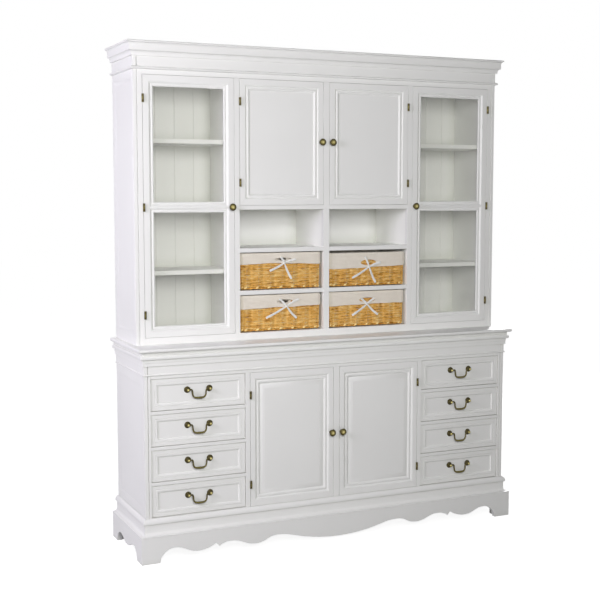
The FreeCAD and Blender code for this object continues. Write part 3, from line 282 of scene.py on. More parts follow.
def taken_over(name, node, kept=None):
    """A copy of a CAD node, each board merged by itself and its flat faces made whole."""
    numbers = solids_of(CAD[node].data)
    piece = placed(name, CAD[node].data.copy())
    piece.data.name = name
    marked(piece, "board", "INT", "FACE", numbers)
    alone(piece)
    bpy.ops.mesh.customdata_custom_splitnormals_clear()
    open_up(piece)
    for number in range(max(numbers) + 1):
        board = bmesh.from_edit_mesh(piece.data).faces.layers.int["board"]
        pick(piece, "faces", lambda face: face[board] == number)
        if kept is None or number in kept:
            bpy.ops.mesh.remove_doubles(threshold=MERGE)
        else:
            bpy.ops.mesh.delete(type="FACE")
    pick_all()
    bpy.ops.mesh.dissolve_limited(angle_limit=math.radians(0.5))
    close_up()
    return piece


# Finishes

def shade(red, green, blue):
    """A colour as it shows, 0 to 255, for a shader."""
    return tuple(((c / 255 + 0.055) / 1.055) ** 2.4 for c in (red, green, blue)) + (1,)


class Wiring:
    """Places shader nodes in a tree and joins them up."""

    def __init__(self, tree):
        self.tree = tree

    def feed(self, value, socket):
        if isinstance(value, bpy.types.NodeSocket):
            self.tree.links.new(value, socket)
        else:
            socket.default_value = value

    def add(self, kind, sockets=(), **settings):
        node = self.tree.nodes.new("ShaderNode" + kind)
        for name, value in settings.items():
            setattr(node, name, value)
        for name, value in dict(sockets).items():
            self.feed(value, node.inputs[name])
        return node

    def maths(self, work, first, second=0.0):
        return self.add("Math", {0: first, 1: second}, operation=work).outputs[0]

    def plus(self, first, second):
        return self.maths("ADD", first, second)

    def times(self, first, second):
        return self.maths("MULTIPLY", first, second)

    def blend(self, share, first, second, kind="MIX"):
        return self.add("Mix", {0: share, 6: first, 7: second}, data_type="RGBA",
                        blend_type=kind).outputs[2]

    def either(self, share, first, second):
        """One of two shaders: the second where the share is 1."""
        sockets = {0: share, 1: first.outputs[0], 2: second.outputs[0]}
        return self.add("MixShader", sockets).outputs[0]

    def ramp(self, value, low, high, to_low=0.0, to_high=1.0):
        return self.add("MapRange", {"Value": value, "From Min": low, "From Max": high,
                                     "To Min": to_low, "To Max": to_high}).outputs[0]

    def noise(self, place, scale, detail=2.0, rough=0.5, stretch=None):
        if stretch:
            place = self.add("Mapping", {"Vector": place, "Scale": stretch}).outputs[0]
        return self.add("TexNoise", {"Vector": place, "Scale": scale, "Detail": detail,
                                     "Roughness": rough}).outputs[0]


def wired(holder):
    """The wiring of a material or world, with nothing in it yet."""
    holder.use_nodes = True
    holder.node_tree.nodes.clear()
    return Wiring(holder.node_tree)


def in_view(w):
    """1 for a ray that looks, also off a mirror or through glass, and 0 for one of light."""
    rays = w.add("LightPath").outputs
    looks = w.maths("MAXIMUM", rays["Is Camera Ray"], rays["Is Glossy Ray"])
    return w.maths("MAXIMUM", looks, rays["Is Transmission Ray"])


def effect(name, colours, amounts, work):
    """A node group that works out a colour, a roughness and a height from its inputs."""
    tree = bpy.data.node_groups.new(name, "ShaderNodeTree")

    def socket(title, way, kind):
        return tree.interface.new_socket(title, in_out=way, socket_type="NodeSocket" + kind)

    for title in colours:
        socket(title, "INPUT", "Color")
    for title in amounts:
        socket(title, "INPUT", "Float")
    ends = (("Color", "Color"), ("Roughness", "Float"), ("Height", "Float"))
    for title, kind in ends:
        socket(title, "OUTPUT", kind)
    start, end = tree.nodes.new("NodeGroupInput"), tree.nodes.new("NodeGroupOutput")
    w = Wiring(tree)
    for (title, _), value in zip(ends, work(w, start.outputs)):
        w.feed(value, end.inputs[title])
    return tree


def finish_with(name, group, values, **constants):
    """A material whose colour, roughness and bump come from one effect."""
    material = bpy.data.materials.new(name)
    wires = wired(material)
    work = wires.add("Group", node_tree=group)
    for title, value in values.items():
        work.inputs[title].default_value = shade(*value) if isinstance(value, tuple) else value
    bump = wires.add("Bump", {"Height": work.outputs["Height"], "Strength": 1.0,
                              "Distance": MM})
    shader = wires.add("BsdfPrincipled", {"Base Color": work.outputs["Color"],
                                          "Roughness": work.outputs["Roughness"],
                                          "Normal": bump.outputs[0]})
    for title, value in constants.items():
        shader.inputs[title.replace("_", " ")].default_value = value
    wires.add("OutputMaterial", {"Surface": shader.outputs[0]})
    return material


def brushed_paint(w, given):
    place = w.add("TexCoord").outputs["Object"]
    run = w.add("UVMap", uv_map="run").outputs[0]
    strokes = w.noise(run, 1.0, 3.0, 0.6, (9, 620, 1))
    cloud = w.noise(place, 4.0, 3.0)
    pores = w.noise(place, 420.0)
    # Painted shade: the paint is darkened towards its second colour in corners and recesses, where
    # the AO node finds other surfaces near.
    corner = w.add("AmbientOcclusion", {"Distance": given["Painted Shade Reach"]}, samples=6)
    painted_shade = w.ramp(corner.outputs["AO"], 0.25, 0.95, 1.0, 0.0)
    tone = w.plus(w.times(cloud, 0.05), w.times(strokes, 0.025))
    grey = w.add("CombineColor", {"Red": w.plus(tone, 0.962), "Green": w.plus(tone, 0.962),
                                  "Blue": w.plus(tone, 0.961)})
    toned = w.blend(1.0, given["Paint"], grey.outputs[0], "MULTIPLY")
    colour = w.blend(w.times(painted_shade, given["Painted Shade Share"]), toned, given["Painted Shade"])
    height = w.times(w.plus(strokes, w.times(pores, 0.25)), 0.05)
    return colour, w.plus(w.times(strokes, 0.12), 0.34), w.times(height, given["Strokes"])


def aged_brass(w, given):
    place = w.add("TexCoord").outputs["Object"]
    polish = w.add("Attribute", attribute_name="polish").outputs["Fac"]
    patches = w.noise(place, 160.0, 4.0, 0.65)
    grit = w.noise(place, 1400.0)
    rub = w.plus(polish, w.times(w.plus(patches, -0.5), 0.5))
    low = w.blend(w.ramp(rub, 0.1, 0.55), given["Dark"], given["Olive"])
    return (w.blend(w.ramp(rub, 0.55, 1.0), low, given["Gold"]),
            w.plus(w.ramp(rub, 0.1, 1.0, 0.48, 0.24), w.times(grit, 0.08)),
            w.plus(w.times(patches, 0.08), w.times(grit, 0.04)))


def willow_skin(w, given):
    strand = w.add("Attribute", attribute_name="strand").outputs["Fac"]
    place = w.add("TexCoord").outputs["Object"]
    run = w.add("UVMap", uv_map="run").outputs[0]
    fibre = w.noise(run, 1.0, 3.0, 0.6, (30, 900, 1))
    patch = w.noise(place, 1.0, 4.0, 0.68, (46, 46, 165))
    mixed = w.plus(w.times(strand, 0.4), w.times(w.ramp(patch, 0.32, 0.68), 0.6))
    mixed = w.plus(mixed, w.times(w.plus(fibre, -0.5), 0.5))
    warm = w.blend(w.ramp(mixed, 0.5, 0.95), given["Honey"], given["Pale"])
    tinted = w.blend(w.ramp(mixed, 0.42, 0.18), warm, given["Burnt"])
    # Painted shade: the willow is darkened towards its last colour where the AO node finds strands
    # close by, between and behind them.
    corner = w.add("AmbientOcclusion", {"Distance": 0.006}, samples=6)
    gap_shade = w.ramp(corner.outputs["AO"], 0.15, 0.75, 1.0, 0.0)
    return (w.blend(w.times(gap_shade, 0.6), tinted, given["Gap Shade"]),
            w.ramp(fibre, 0.2, 0.8, 0.75, 0.55), w.times(fibre, 0.35))


def plain_weave(w, given):
    place = w.add("TexCoord").outputs["Object"]
    cloth = w.add("UVMap", uv_map="cloth").outputs[0]
    parts = w.add("SeparateXYZ", {0: cloth}).outputs
    lanes = [w.maths("SINE", w.times(part, given["Pitch"])) for part in parts[:2]]
    slub = w.noise(cloth, 1.0, 3.0, 0.6, (26, 900, 1))
    slub_up = w.noise(cloth, 1.0, 3.0, 0.6, (900, 26, 1))
    cloud = w.noise(place, 22.0, 3.0)
    slubs = w.plus(slub, slub_up)
    tone = w.plus(w.times(slubs, 0.4), w.times(cloud, 0.4))
    checks = w.times(lanes[0], lanes[1])
    return (w.blend(w.ramp(tone, 0.3, 0.85), given["Shade"], given["Thread"]),
            w.ramp(slub, 0.2, 0.8, 0.95, 0.82),
            w.plus(w.times(checks, 0.08), w.times(slubs, 0.12)))


def clear_glass():
    """Flat glass that lets the light through to what is behind it."""
    material = bpy.data.materials.new("clear_glass")
    w = wired(material)
    place = w.add("TexCoord").outputs["Object"]
    ripple = w.noise(place, 6.0, 1.0)
    smear = w.noise(place, 14.0, 3.0, 0.6)
    bump = w.add("Bump", {"Height": ripple, "Strength": 0.15, "Distance": MM})
    shader = w.add("BsdfPrincipled", {"Base Color": (0.94, 0.944, 0.93, 1),
                                      "Roughness": w.ramp(smear, 0.35, 0.8, 0.0, 0.02),
                                      "IOR": 1.45, "Transmission Weight": 1.0,
                                      "Normal": bump.outputs[0]})
    through = w.add("BsdfTransparent", {"Color": (0.92, 0.922, 0.905, 1)})
    rays = w.add("LightPath").outputs
    passing = w.maths("MAXIMUM", rays["Is Shadow Ray"], rays["Is Diffuse Ray"])
    w.add("OutputMaterial", {"Surface": w.either(passing, shader, through)})
    return material


# Each paint has its colour, the colour of the painted shade in its corners and hollows, the
# share and reach of that painted shade, the strength of its brush strokes and its gloss. The
# inside and back paints are lighter copies of the outside paint, as painted light; the back
# paint's painted corner shade is darker and reaches further, and the high paint has less.
PAINT = effect("brushed_paint", ("Paint", "Painted Shade"),
               ("Painted Shade Share", "Painted Shade Reach", "Strokes"), brushed_paint)
paint, high_paint_less_shade, lit_inner_paint, lit_back_paint_corner_shade = (
    finish_with(name, PAINT, {"Paint": plain, "Painted Shade": painted_shade, "Painted Shade Share": share,
                              "Painted Shade Reach": reach, "Strokes": strokes},
                Specular_IOR_Level=gloss)
    for name, plain, painted_shade, share, reach, strokes, gloss in (
        ("off_white_paint", (238, 238, 236), (206, 207, 196), 0.4, 0.028, 1.0, 0.4),
        ("off_white_paint_high_less_shade", (238, 238, 236), (214, 215, 208), 0.12, 0.028, 1.0, 0.4),
        ("off_white_paint_inside_lit", (250, 250, 247), (222, 223, 210), 0.25, 0.028, 0.8, 0.3),
        ("off_white_paint_back_lit_corner_shade", (247, 247, 245), (160, 164, 142), 0.45, 0.06, 0.8, 0.3)))
BRASS = effect("aged_brass", ("Dark", "Olive", "Gold"), (), aged_brass)
brass = finish_with("aged_brass", BRASS,
                    {"Dark": (64, 58, 38), "Olive": (122, 113, 70), "Gold": (198, 186, 130)},
                    Metallic=1.0)
# The willow's last colour is painted shade between the strands.
WILLOW = effect("willow", ("Pale", "Honey", "Burnt", "Gap Shade"), (), willow_skin)
willow = finish_with("honey_willow", WILLOW,
                     {"Pale": (255, 226, 158), "Honey": (234, 178, 88),
                      "Burnt": (172, 112, 44), "Gap Shade": (108, 68, 24)}, Specular_IOR_Level=0.15)
WEAVE = effect("plain_weave", ("Thread", "Shade"), ("Pitch",), plain_weave)
linen = finish_with("natural_linen", WEAVE,
                    {"Thread": (241, 234, 222), "Shade": (225, 216, 202), "Pitch": 5200.0},
                    Specular_IOR_Level=0.2, Sheen_Weight=0.25)
ribbon_cloth = finish_with("white_ribbon", WEAVE,
                           {"Thread": (246, 246, 242), "Shade": (230, 229, 226),
                            "Pitch": 9000.0}, Specular_IOR_Level=0.4, Sheen_Weight=0.3)
glass = clear_glass()


# The planes of the two cases. A door or drawer has its left and right, then its foot and head.

BASE_FRONT, HUTCH_FRONT = -203.5, -94.5
CASE_HALF = 898.0
BASE_DOOR = ((15.7, 419.4), (190.9, 785.9))
UPPER_DOOR = ((15.7, 420.4), (1513.9, 2062.1))
GLAZED_DOOR = ((447.3, 857.5), (948.9, 2062.1))
DRAWER = ((442.8, 869.2), (191.3, 327.4))
DRAWER_RISE = 152.7
HANDLE_X, HANDLE_Z = 656.0, 272.85


# The case: CAD boards with rounded edges

CASE = (
    ("plinth_front_apron", 1.4, paint),
    ("plinth_side_aprons", 1.4, paint),
    ("plinth_rails_and_blocks", 1.0, paint),
    ("plinth_moulding", 0.6, paint),
    ("base_face_frame", 0.6, paint),
    ("base_inner_boards", 0.8, lit_inner_paint),
    ("base_sides", 0.8, paint),
    ("buffet_top", 0.5, paint),
    ("hutch_face_frame", 0.6, high_paint_less_shade),
    ("hutch_inner_boards", 0.9, lit_inner_paint),
    ("hutch_back_boards", 0.5, lit_back_paint_corner_shade),
    ("hutch_sides", 0.8, high_paint_less_shade),
    ("cornice", 0.6, high_paint_less_shade),
)
SIDE_RECESS = 11.0
SOFT_RECESS = {"base_sides": 3.2, "hutch_sides": 5.0}


def bring_out(boards, recess):
    """Brings the panels in the sides out to a soft, shallow recess."""
    panel = CASE_HALF - SIDE_RECESS
    for way in (-1, 1):
        open_up(boards, "VERT")
        pick(boards, "verts", lambda v: abs(way * v.co.x - panel * MM) < NEAR)
        bpy.ops.transform.translate(value=(way * (SIDE_RECESS - recess) * MM, 0, 0))
        close_up()


for node, width, finish in CASE:
    boards = taken_over("painted_" + node, node)
    if node in SOFT_RECESS:
        bring_out(boards, SOFT_RECESS[node])
    rounded(boards, width)
    run_map(boards)
    settle(boards, "cabinet", finish, [node])


# Doors and drawers

DOOR_THICK, DOOR_ROUNDING = 20, 0.55
# The widths of a stile and a rail outside the mouldings, and half that of a glazed door's bar.
RAISED_WIDTHS, FLAT_WIDTHS, BAR_HALF = (22, 27), (25.7, 26.7), 2
PANEL_FRONT, PANEL_BACK = 1.2, 17
GLASS_FRONT, GLASS_BACK, PICK_ROOM = 10.9, 14.1, 0.2
# The field of a drawer front lies this far behind the face of the case.
FIELD, DRAWER_BACK = 10, 24

RAISED_PANEL = profile((0.4, 0), (9.6, 4.0, "wave", 7), (13.6, 2.4, "wave", 4), (15.6, 2.2),
                       (17.0, 2.5), (25.4, 6.2, "wave", 7), (26.0, 6.6), (27.0, 6.4),
                       (44.0, 2.2, "slope", 6), (44.8, 1.7), (45.8, 1.5))
FLAT_PANEL = profile((0.4, 0), (6.3, 3.2, "wave", 6), (11.8, 0.6, "wave", 5), (14.0, 0.3),
                     (15.6, 0.7), (23.0, 4.8, "wave", 7), (23.6, 5.2))
PANE_FRONT = profile((0.3, 0), (9.6, 5.0, "wave", 7), (10.2, 5.5), (15.0, 3.4, "upright", 4),
                     (21.0, 7.0, "level", 5))
PANE_BACK = [(15.7, 0), (17.3, 1.6)]
# The border of a drawer front stands proud of its field, so its depths are below nothing.
DRAWER_FACE = profile((0.3, -3.4), (3.6, -5.5, "upright", 5), (5.0, -5.6), (16.6, -5.6),
                      (17.3, -4.2), (18.7, -4.2), (19.6, -5.6), (21.6, -5.6),
                      (30.6, -1.2, "level", 7), (30.9, -0.3), (31.6, 0))


def mitred_frame(name, door, front, stile, rail):
    """Four boards of a door's frame, mitred at the corners."""
    sticks = []
    for axis, other, width, mitre in ((0, 2, stile, rail), (2, 0, rail, stile)):
        span, run = door[axis // 2], door[other // 2]
        for edge, inner in ((span[0], span[0] + width), (span[1], span[1] - width)):
            spans = [None, (front, front + DOOR_THICK), None]
            spans[axis], spans[other] = sorted((edge, inner)), run
            stick = block(name, *spans)
            open_up(stick, "VERT")
            for level, way in zip(run, (1, -1)):
                pick(stick, "verts", lambda v: abs(v.co[axis] - inner * MM) < NEAR
                     and abs(v.co[other] - level * MM) < NEAR)
                move = [0, 0, 0]
                move[other] = way * mitre * MM
                bpy.ops.transform.translate(value=move)
            close_up()
            sticks.append(stick)
    return sticks


def panel_door(name, door, front, raised):
    """A door with a mitred frame round one moulded panel."""
    xs, zs = door
    stile, rail = RAISED_WIDTHS if raised else FLAT_WIDTHS
    sticks = mitred_frame(name, door, front, stile, rail)
    frame_boards = rounded(joined(name, sticks), DOOR_ROUNDING)
    panel = block(name + "_panel", (xs[0] + stile, xs[1] - stile),
                  (front + PANEL_FRONT, front + PANEL_BACK), (zs[0] + rail, zs[1] - rail))
    open_up(panel)
    pick_side(panel, -1)
    sink(RAISED_PANEL if raised else FLAT_PANEL)
    close_up()
    return joined(name, [frame_boards, smoothed(panel, 30)])


def window(name, xs, ys, zs, rings):
    """A ring of moulding round an opening, with its rings worked from the front."""
    piece = block(name, xs, ys, zs)
    open_up(piece)
    pick_side(piece, -1)
    sink(rings)
    pick_side(piece, 1)
    sink([(rings[-1][0], 0)])
    inset = rings[-1][0] - PICK_ROOM

    def in_opening(face):
        return abs(face.normal.y) > 0.99 and all(
            xs[0] + inset < v.co.x / MM < xs[1] - inset
            and zs[0] + inset < v.co.z / MM < zs[1] - inset for v in face.verts)

    pick(piece, "faces", in_opening)
    bpy.ops.mesh.delete(type="FACE")
    bpy.ops.mesh.select_mode(type="EDGE")
    pick(piece, "edges", lambda e: e.is_boundary)
    bpy.ops.mesh.bridge_edge_loops()
    close_up()
    return smoothed(piece, 30)


def glazed_door(name, door, front):
    """A door with a mitred frame, a bar and a moulding round each side of both panes."""
    xs, zs = door
    stile, rail = FLAT_WIDTHS
    opening, middle = (xs[0] + stile, xs[1] - stile), sum(zs) / 2
    boards = mitred_frame(name, door, front, stile, rail)
    boards.append(block(name, opening, (front, front + DOOR_THICK),
                        (middle - BAR_HALF, middle + BAR_HALF)))
    parts = [rounded(joined(name, boards), DOOR_ROUNDING)]
    for span in ((zs[0] + rail, middle - BAR_HALF), (middle + BAR_HALF, zs[1] - rail)):
        parts.append(window(name, opening, (front + 0.4, front + GLASS_FRONT), span, PANE_FRONT))
        parts.append(window(name, opening, (front + GLASS_BACK, front + DOOR_THICK), span,
                            PANE_BACK))
    return joined(name, parts)


def drawer_front(name):
    """A front with a raised border, a groove in it and a quarter round down to its field."""
    xs, zs = DRAWER
    piece = block(name, xs, (BASE_FRONT + FIELD, BASE_FRONT + DRAWER_BACK), zs)
    open_up(piece)
    pick_side(piece, -1)
    sink(DRAWER_FACE)
    close_up()
    return joined(name, [smoothed(piece, 34)])


# One of each door and drawer is modelled, and copied to the other places.
for kind, door, make, finish in (
        ("base", BASE_DOOR, lambda n, d: panel_door(n, d, BASE_FRONT, True), paint),
        ("upper", UPPER_DOOR, lambda n, d: panel_door(n, d, HUTCH_FRONT, False), paint),
        ("glazed", GLAZED_DOOR, lambda n, d: glazed_door(n, d, HUTCH_FRONT), high_paint_less_shade)):
    right = make("painted_%s_door_right" % kind, door)
    run_map(right)
    left = copied(right, "painted_%s_door_left" % kind, (-sum(door[0]), 0, 0))
    for piece, side in ((right, "right"), (left, "left")):
        node = "%s_door_%s" % (kind, side)
        settle(piece, node, finish, [node])
for side, _ in SIDES:
    panes = CAD["glazed_door_%s_glass" % side]
    panes.data.materials.clear()
    panes.data.materials.append(glass)


def each_drawer():
    """Every drawer's side, row and node, and its shift from the lowest on the right."""
    for side, way in SIDES:
        for row in ROWS:
            shift = (0 if way > 0 else -2 * HANDLE_X, 0, DRAWER_RISE * (ROWS[-1] - row))
            yield side, row, "drawer_%s_%d" % (side, row), shift


first_front = drawer_front("painted_drawer_front")
first_box = rounded(taken_over("painted_drawer_box", "drawer_right_4", (2, 3, 4, 5)), 0.8)
for piece in (first_front, first_box):
    run_map(piece)
for _, _, node, shift in each_drawer():
    front = copied(first_front, "painted_%s_front" % node, shift)
    settle(front, node, paint, [node])
    box = copied(first_box, "painted_%s_box" % node, shift)
    settle(box, node, lit_inner_paint)
for piece in (first_front, first_box):
    bpy.data.objects.remove(piece)


# Brass

def rubbed(piece, test):
    """Marks how far each corner of a fitting is rubbed bright."""
    marked(piece, "polish", "FLOAT", "POINT", [test(spot.co) for spot in piece.data.vertices])
    return piece


def turned(name, centre, rings):
    """A piece turned about an axis that runs straight out of the front.

    A ring is a radius, a reach from the face and how far it is rubbed bright.
    """
    centre = Vector(centre) * MM
    piece = started(name, bpy.ops.mesh.primitive_plane_add, size=2 * MM, location=centre)
    open_up(piece, "VERT")
    pick_all()
    bpy.ops.mesh.merge(type="CENTER")
    here = Vector((0, 0, 0))
    for radius, reach, _ in rings:
        there = Vector((radius * MM, -reach * MM, 0))
        move = {"value": there - here}
        if here.length == 0:
            bpy.ops.transform.translate(**move)
        else:
            bpy.ops.mesh.extrude_region_move(TRANSFORM_OT_translate=move)
        here = there
    pick_all()
    bpy.ops.mesh.spin(steps=TURN_STEPS, angle=2 * math.pi, center=centre, axis=(0, 1, 0))
    pick_all()
    bpy.ops.mesh.remove_doubles(threshold=MERGE)
    bpy.ops.mesh.normals_make_consistent(inside=False)
    close_up()

    def brightness(place):
        away = (place - centre) / MM
        radius, reach = math.hypot(away.x, away.z), -away.y
        return min(rings, key=lambda r: (r[0] - radius) ** 2 + (r[1] - reach) ** 2)[2]

    return soft_shaded(rubbed(piece, brightness), 50)


def ball(centre_reach, radius, start, bright):
    """Rings of a ball from a turn after its back to its tip."""
    rings = []
    for step in range(BALL_STEPS + 1):
        share = step / BALL_STEPS
        turn = math.radians(start + (180 - start) * share)
        rings.append((max(radius * math.sin(turn), 0.0), centre_reach - radius * math.cos(turn),
                      bright * share))
    return rings


BALL_REACH, POST_HALF, BALL_STEPS, TURN_STEPS = 15, 50, 9, 40
ROSETTE = [(0, 0, 0), (14.2, 0, 0), (14.3, 1, 0), (13.9, 1.9, 0.05), (13, 2.4, 0.15),
           (11.9, 2.2, 0), (11.2, 2.2, 0), (10.4, 2.9, 0.1), (9.5, 3.3, 0.2), (8.6, 3.1, 0),
           (7.4, 3.8, 0.1), (6.2, 4.8, 0.1), (5, 5.6, 0), (4.5, 6.6, 0), (4.4, 8, 0)]
ROSETTE += ball(BALL_REACH, 6.9, 40, 0.9)
KNOB = [(0, 0, 0), (10, 0, 0), (10, 1.3, 0.05), (9.2, 2.1, 0.1), (6.8, 2.7, 0), (5.8, 4.5, 0),
        (5.8, 8, 0), (7.2, 10.4, 0), (10.6, 12.6, 0), (13.8, 14.2, 0.1), (15.6, 15.9, 0.2),
        (16, 17.2, 0.2), (15.5, 18.6, 0.15), (14.2, 19.6, 0.2), (13, 19.9, 0.05), (12.3, 19.6, 0),
        (11.6, 19.9, 0.1), (9.6, 20.9, 0.3), (6.8, 21.6, 0.5), (3.4, 21.9, 0.85), (0, 22, 1)]
# The right half of a bail's wire: across, up and its radius, from the post to the middle.
BAIL = [(46.5, 0.2, 3.2), (42.5, 0.8, 3.3), (38.6, 2.0, 3.4), (34.4, 1.2, 3.4),
        (31.5, -3.6, 3.3), (30.6, -10.0, 3.3), (30.2, -17.5, 3.4), (28.8, -25.5, 3.5),
        (24.5, -32.2, 3.8), (16.0, -35.2, 4.4), (7.0, -35.8, 4.9)]
BAIL_DROP = 38


def swan_bail(name, middle, pivot, height):
    """The bail's wire, drawn as one smooth line and thickened towards its middle."""
    line = [(-x, z, r) for x, z, r in BAIL] + [(0, -35.9, 5.0)] + BAIL[::-1]
    curve = bpy.data.curves.new(name, "CURVE")
    curve.dimensions = "3D"
    curve.bevel_depth = MM
    curve.bevel_resolution = 5
    curve.resolution_u = 5
    curve.use_fill_caps = True
    spline = curve.splines.new("NURBS")
    spline.points.add(len(line) - 1)
    for point, (x, z, radius) in zip(spline.points, line):
        point.co = ((middle + x) * MM, pivot * MM, (height + z) * MM, 1)
        point.radius = radius
    spline.order_u = 4
    spline.use_endpoint_u = True
    alone(placed(name, curve))
    bpy.ops.object.convert(target="MESH")
    bpy.ops.object.shade_smooth()
    return rubbed(bpy.context.object, lambda place: 0.16 + 0.16 * min(
        max((height - place.z / MM) / BAIL_DROP, 0), 1))


face = BASE_FRONT + FIELD
rosettes = [turned("rosette", (HANDLE_X + way * POST_HALF, face, HANDLE_Z), ROSETTE)
            for way in (-1, 1)]
posts = joined("rosettes", rosettes)
first_bail = swan_bail("bail", HANDLE_X, face - BALL_REACH, HANDLE_Z)
for side, row, node, shift in each_drawer():
    settle(copied(posts, "brass_%s_rosettes" % node, shift), node,
           brass, [node + "_handle_posts"])
    settle(copied(first_bail, "brass_%s_bail" % node, shift), "bail_%s_%d" % (side, row),
           brass, [node + "_bail"])
for piece in (posts, first_bail):
    bpy.data.objects.remove(piece)


def hinges(name, node, kept, brightness):
    """Hinge leaves and pins out of a CAD node, with rounded edges."""
    return rubbed(rounded(taken_over(name, node, kept), 0.25, 40), brightness)


for kind, spot, front in (("base", (26.4, 488.4), BASE_FRONT),
                          ("upper", (26.4, 1795.0), HUTCH_FRONT),
                          ("glazed", (460.4, 1505.5), HUTCH_FRONT)):
    for side, way in SIDES:
        door = "%s_door_%s" % (kind, side)
        fittings = door + "_fittings"
        knob = turned("brass_%s_knob" % door, (way * spot[0], front, spot[1]), KNOB)
        settle(knob, door, brass, [fittings])
        # The first solid of the fittings is the knob, and the others are hinge leaves.
        count = max(solids_of(CAD[fittings].data)) + 1
        leaves = hinges("brass_%s_hinge_leaves" % door, fittings, range(1, count),
                        lambda place: 0.3 if place.y < (front - 1) * MM else 0.05)
        settle(leaves, door, brass)
frame_leaves = hinges("brass_frame_hinge_leaves", "frame_hinge_leaves", None, lambda place: 0.15)
settle(frame_leaves, "cabinet", brass, ["frame_hinge_leaves"])


# Wicker baskets

HALF_WIDTH, HALF_DEPTH, CORNER = 197.8, 135.0, 20.0
FRONT_RUN = HALF_WIDTH - CORNER
SIDE_RUN = HALF_DEPTH - CORNER
BEND = math.pi / 2 * CORNER
AROUND = 4 * FRONT_RUN + 4 * SIDE_RUN + 4 * BEND
BASKET_X, BASKET_Y, HIGHER, LOWER = 218.2, 50.5, 1136.3, 948.3
UP = Vector((0, 0, 1))
# The wall's middle lies this far inside the outline. Its rows go up in even steps.
WALL_MIDDLE, FIRST_ROW, ROW_RISE, BORDER_ROOM = 4.7, 15.0, 6.0, 8
# The hole for a hand in the front: half its width, its top, and its foot on each side.
HOLE_HALF, HOLE_HIGH = 41.0, 147.0
HOLE_LOW = {"left": 122.0, "right": 130.0}
# Half the thickness and height of a strand, and how far the two of a row swing out and over.
STRAND_THICK, STRAND_TALL, SWING_OUT, SWING_OVER = 1.3, 2.6, 2.95, 1.3
# Half the thickness of a stake, of one in a corner and of a rod of the borders.
STAKE, CORNER_STAKE, ROD = 2.2, 2.7, 2.35
STAKE_ENDS, TWISTS = 5, 24
FLOOR_ROWS, FLOOR_STEPS, FLOOR_STICKS, FLOOR_MIDDLE = 34, 22, 11, 5.4
# The range of the random phases of waves: about one turn.
PHASES = 6.28


class Basket:
    """One basket's own measures, in millimetres from the middle of its foot.

    fold is how low its cloth hangs at the left, middle and right of the front, hole is the
    opening in the cloth, knot is where its ribbon crosses and ends is where the ribbon goes
    from there.
    """

    def __init__(self, side, foot, height, taper, fold, hole, knot, ends):
        self.side = side
        self.place = Vector((dict(SIDES)[side] * BASKET_X, BASKET_Y, foot))
        self.height, self.taper, self.fold = height, taper, fold
        self.hole, self.knot, self.ends = hole, knot, ends

    def wall(self, distance, height, out=0.0):
        """A place on the middle of the woven wall, pushed out by some millimetres."""
        place, way = outline(distance)
        place = place + way * (out - WALL_MIDDLE - self.taper * (1 - height / self.height))
        return Vector((place.x, place.y, height)), Vector((way.x, way.y, 0))

    def fold_foot(self, place):
        """How low the cloth hangs at a place on the outline."""
        left, middle, right = self.fold
        x = place.x / HALF_WIDTH
        front = middle + (right - left) / 2 * x + ((left + right) / 2 - middle) * x * x
        return middle + (front - middle) * max(0.0, 1 - (place.y + HALF_DEPTH) / HALF_DEPTH)


def outline(distance):
    """Place on the basket's outline and the way out of it there.

    The distance starts in the middle of the front and goes right.
    """
    distance %= AROUND
    place, turn = Vector((0, -HALF_DEPTH)), 0.0
    for length in (FRONT_RUN, BEND, 2 * SIDE_RUN, BEND, 2 * FRONT_RUN, BEND, 2 * SIDE_RUN, BEND,
                   FRONT_RUN):
        step = min(distance, length)
        if length == BEND:
            middle = place + Vector((-math.sin(turn), math.cos(turn))) * CORNER
            turn += step / CORNER
            place = middle + Vector((math.sin(turn), -math.cos(turn))) * CORNER
        else:
            place = place + Vector((math.cos(turn), math.sin(turn))) * step
        distance -= step
        if distance <= 0:
            break
    return place, Vector((math.sin(turn), -math.cos(turn)))


def stake_places():
    """Distances round the outline at which the stakes stand: one at each corner too."""
    front = [57.0 * number for number in range(-3, 4)]
    side = [54.0 * number for number in range(-2, 3)]
    corner = FRONT_RUN + BEND / 2
    right, back = FRONT_RUN + BEND + SIDE_RUN, AROUND / 2
    places = front + [corner] + [right + s for s in side] + [back - corner]
    places += [back + s for s in front] + [back + corner]
    places += [AROUND - right + s for s in side] + [AROUND - corner]
    return sorted(s % AROUND for s in places)


STAKES = stake_places()


def quads(rings, corners, base=0, around=True, closed=False):
    """The faces between rings of corners, which may go around and close on the first ring."""
    faces = []
    for ring in range(rings if closed else rings - 1):
        here, there = base + ring * corners, base + (ring + 1) % rings * corners
        for side in range(corners if around else corners - 1):
            beside = (side + 1) % corners
            faces.append((here + side, here + beside, there + beside, there + side))
    return faces


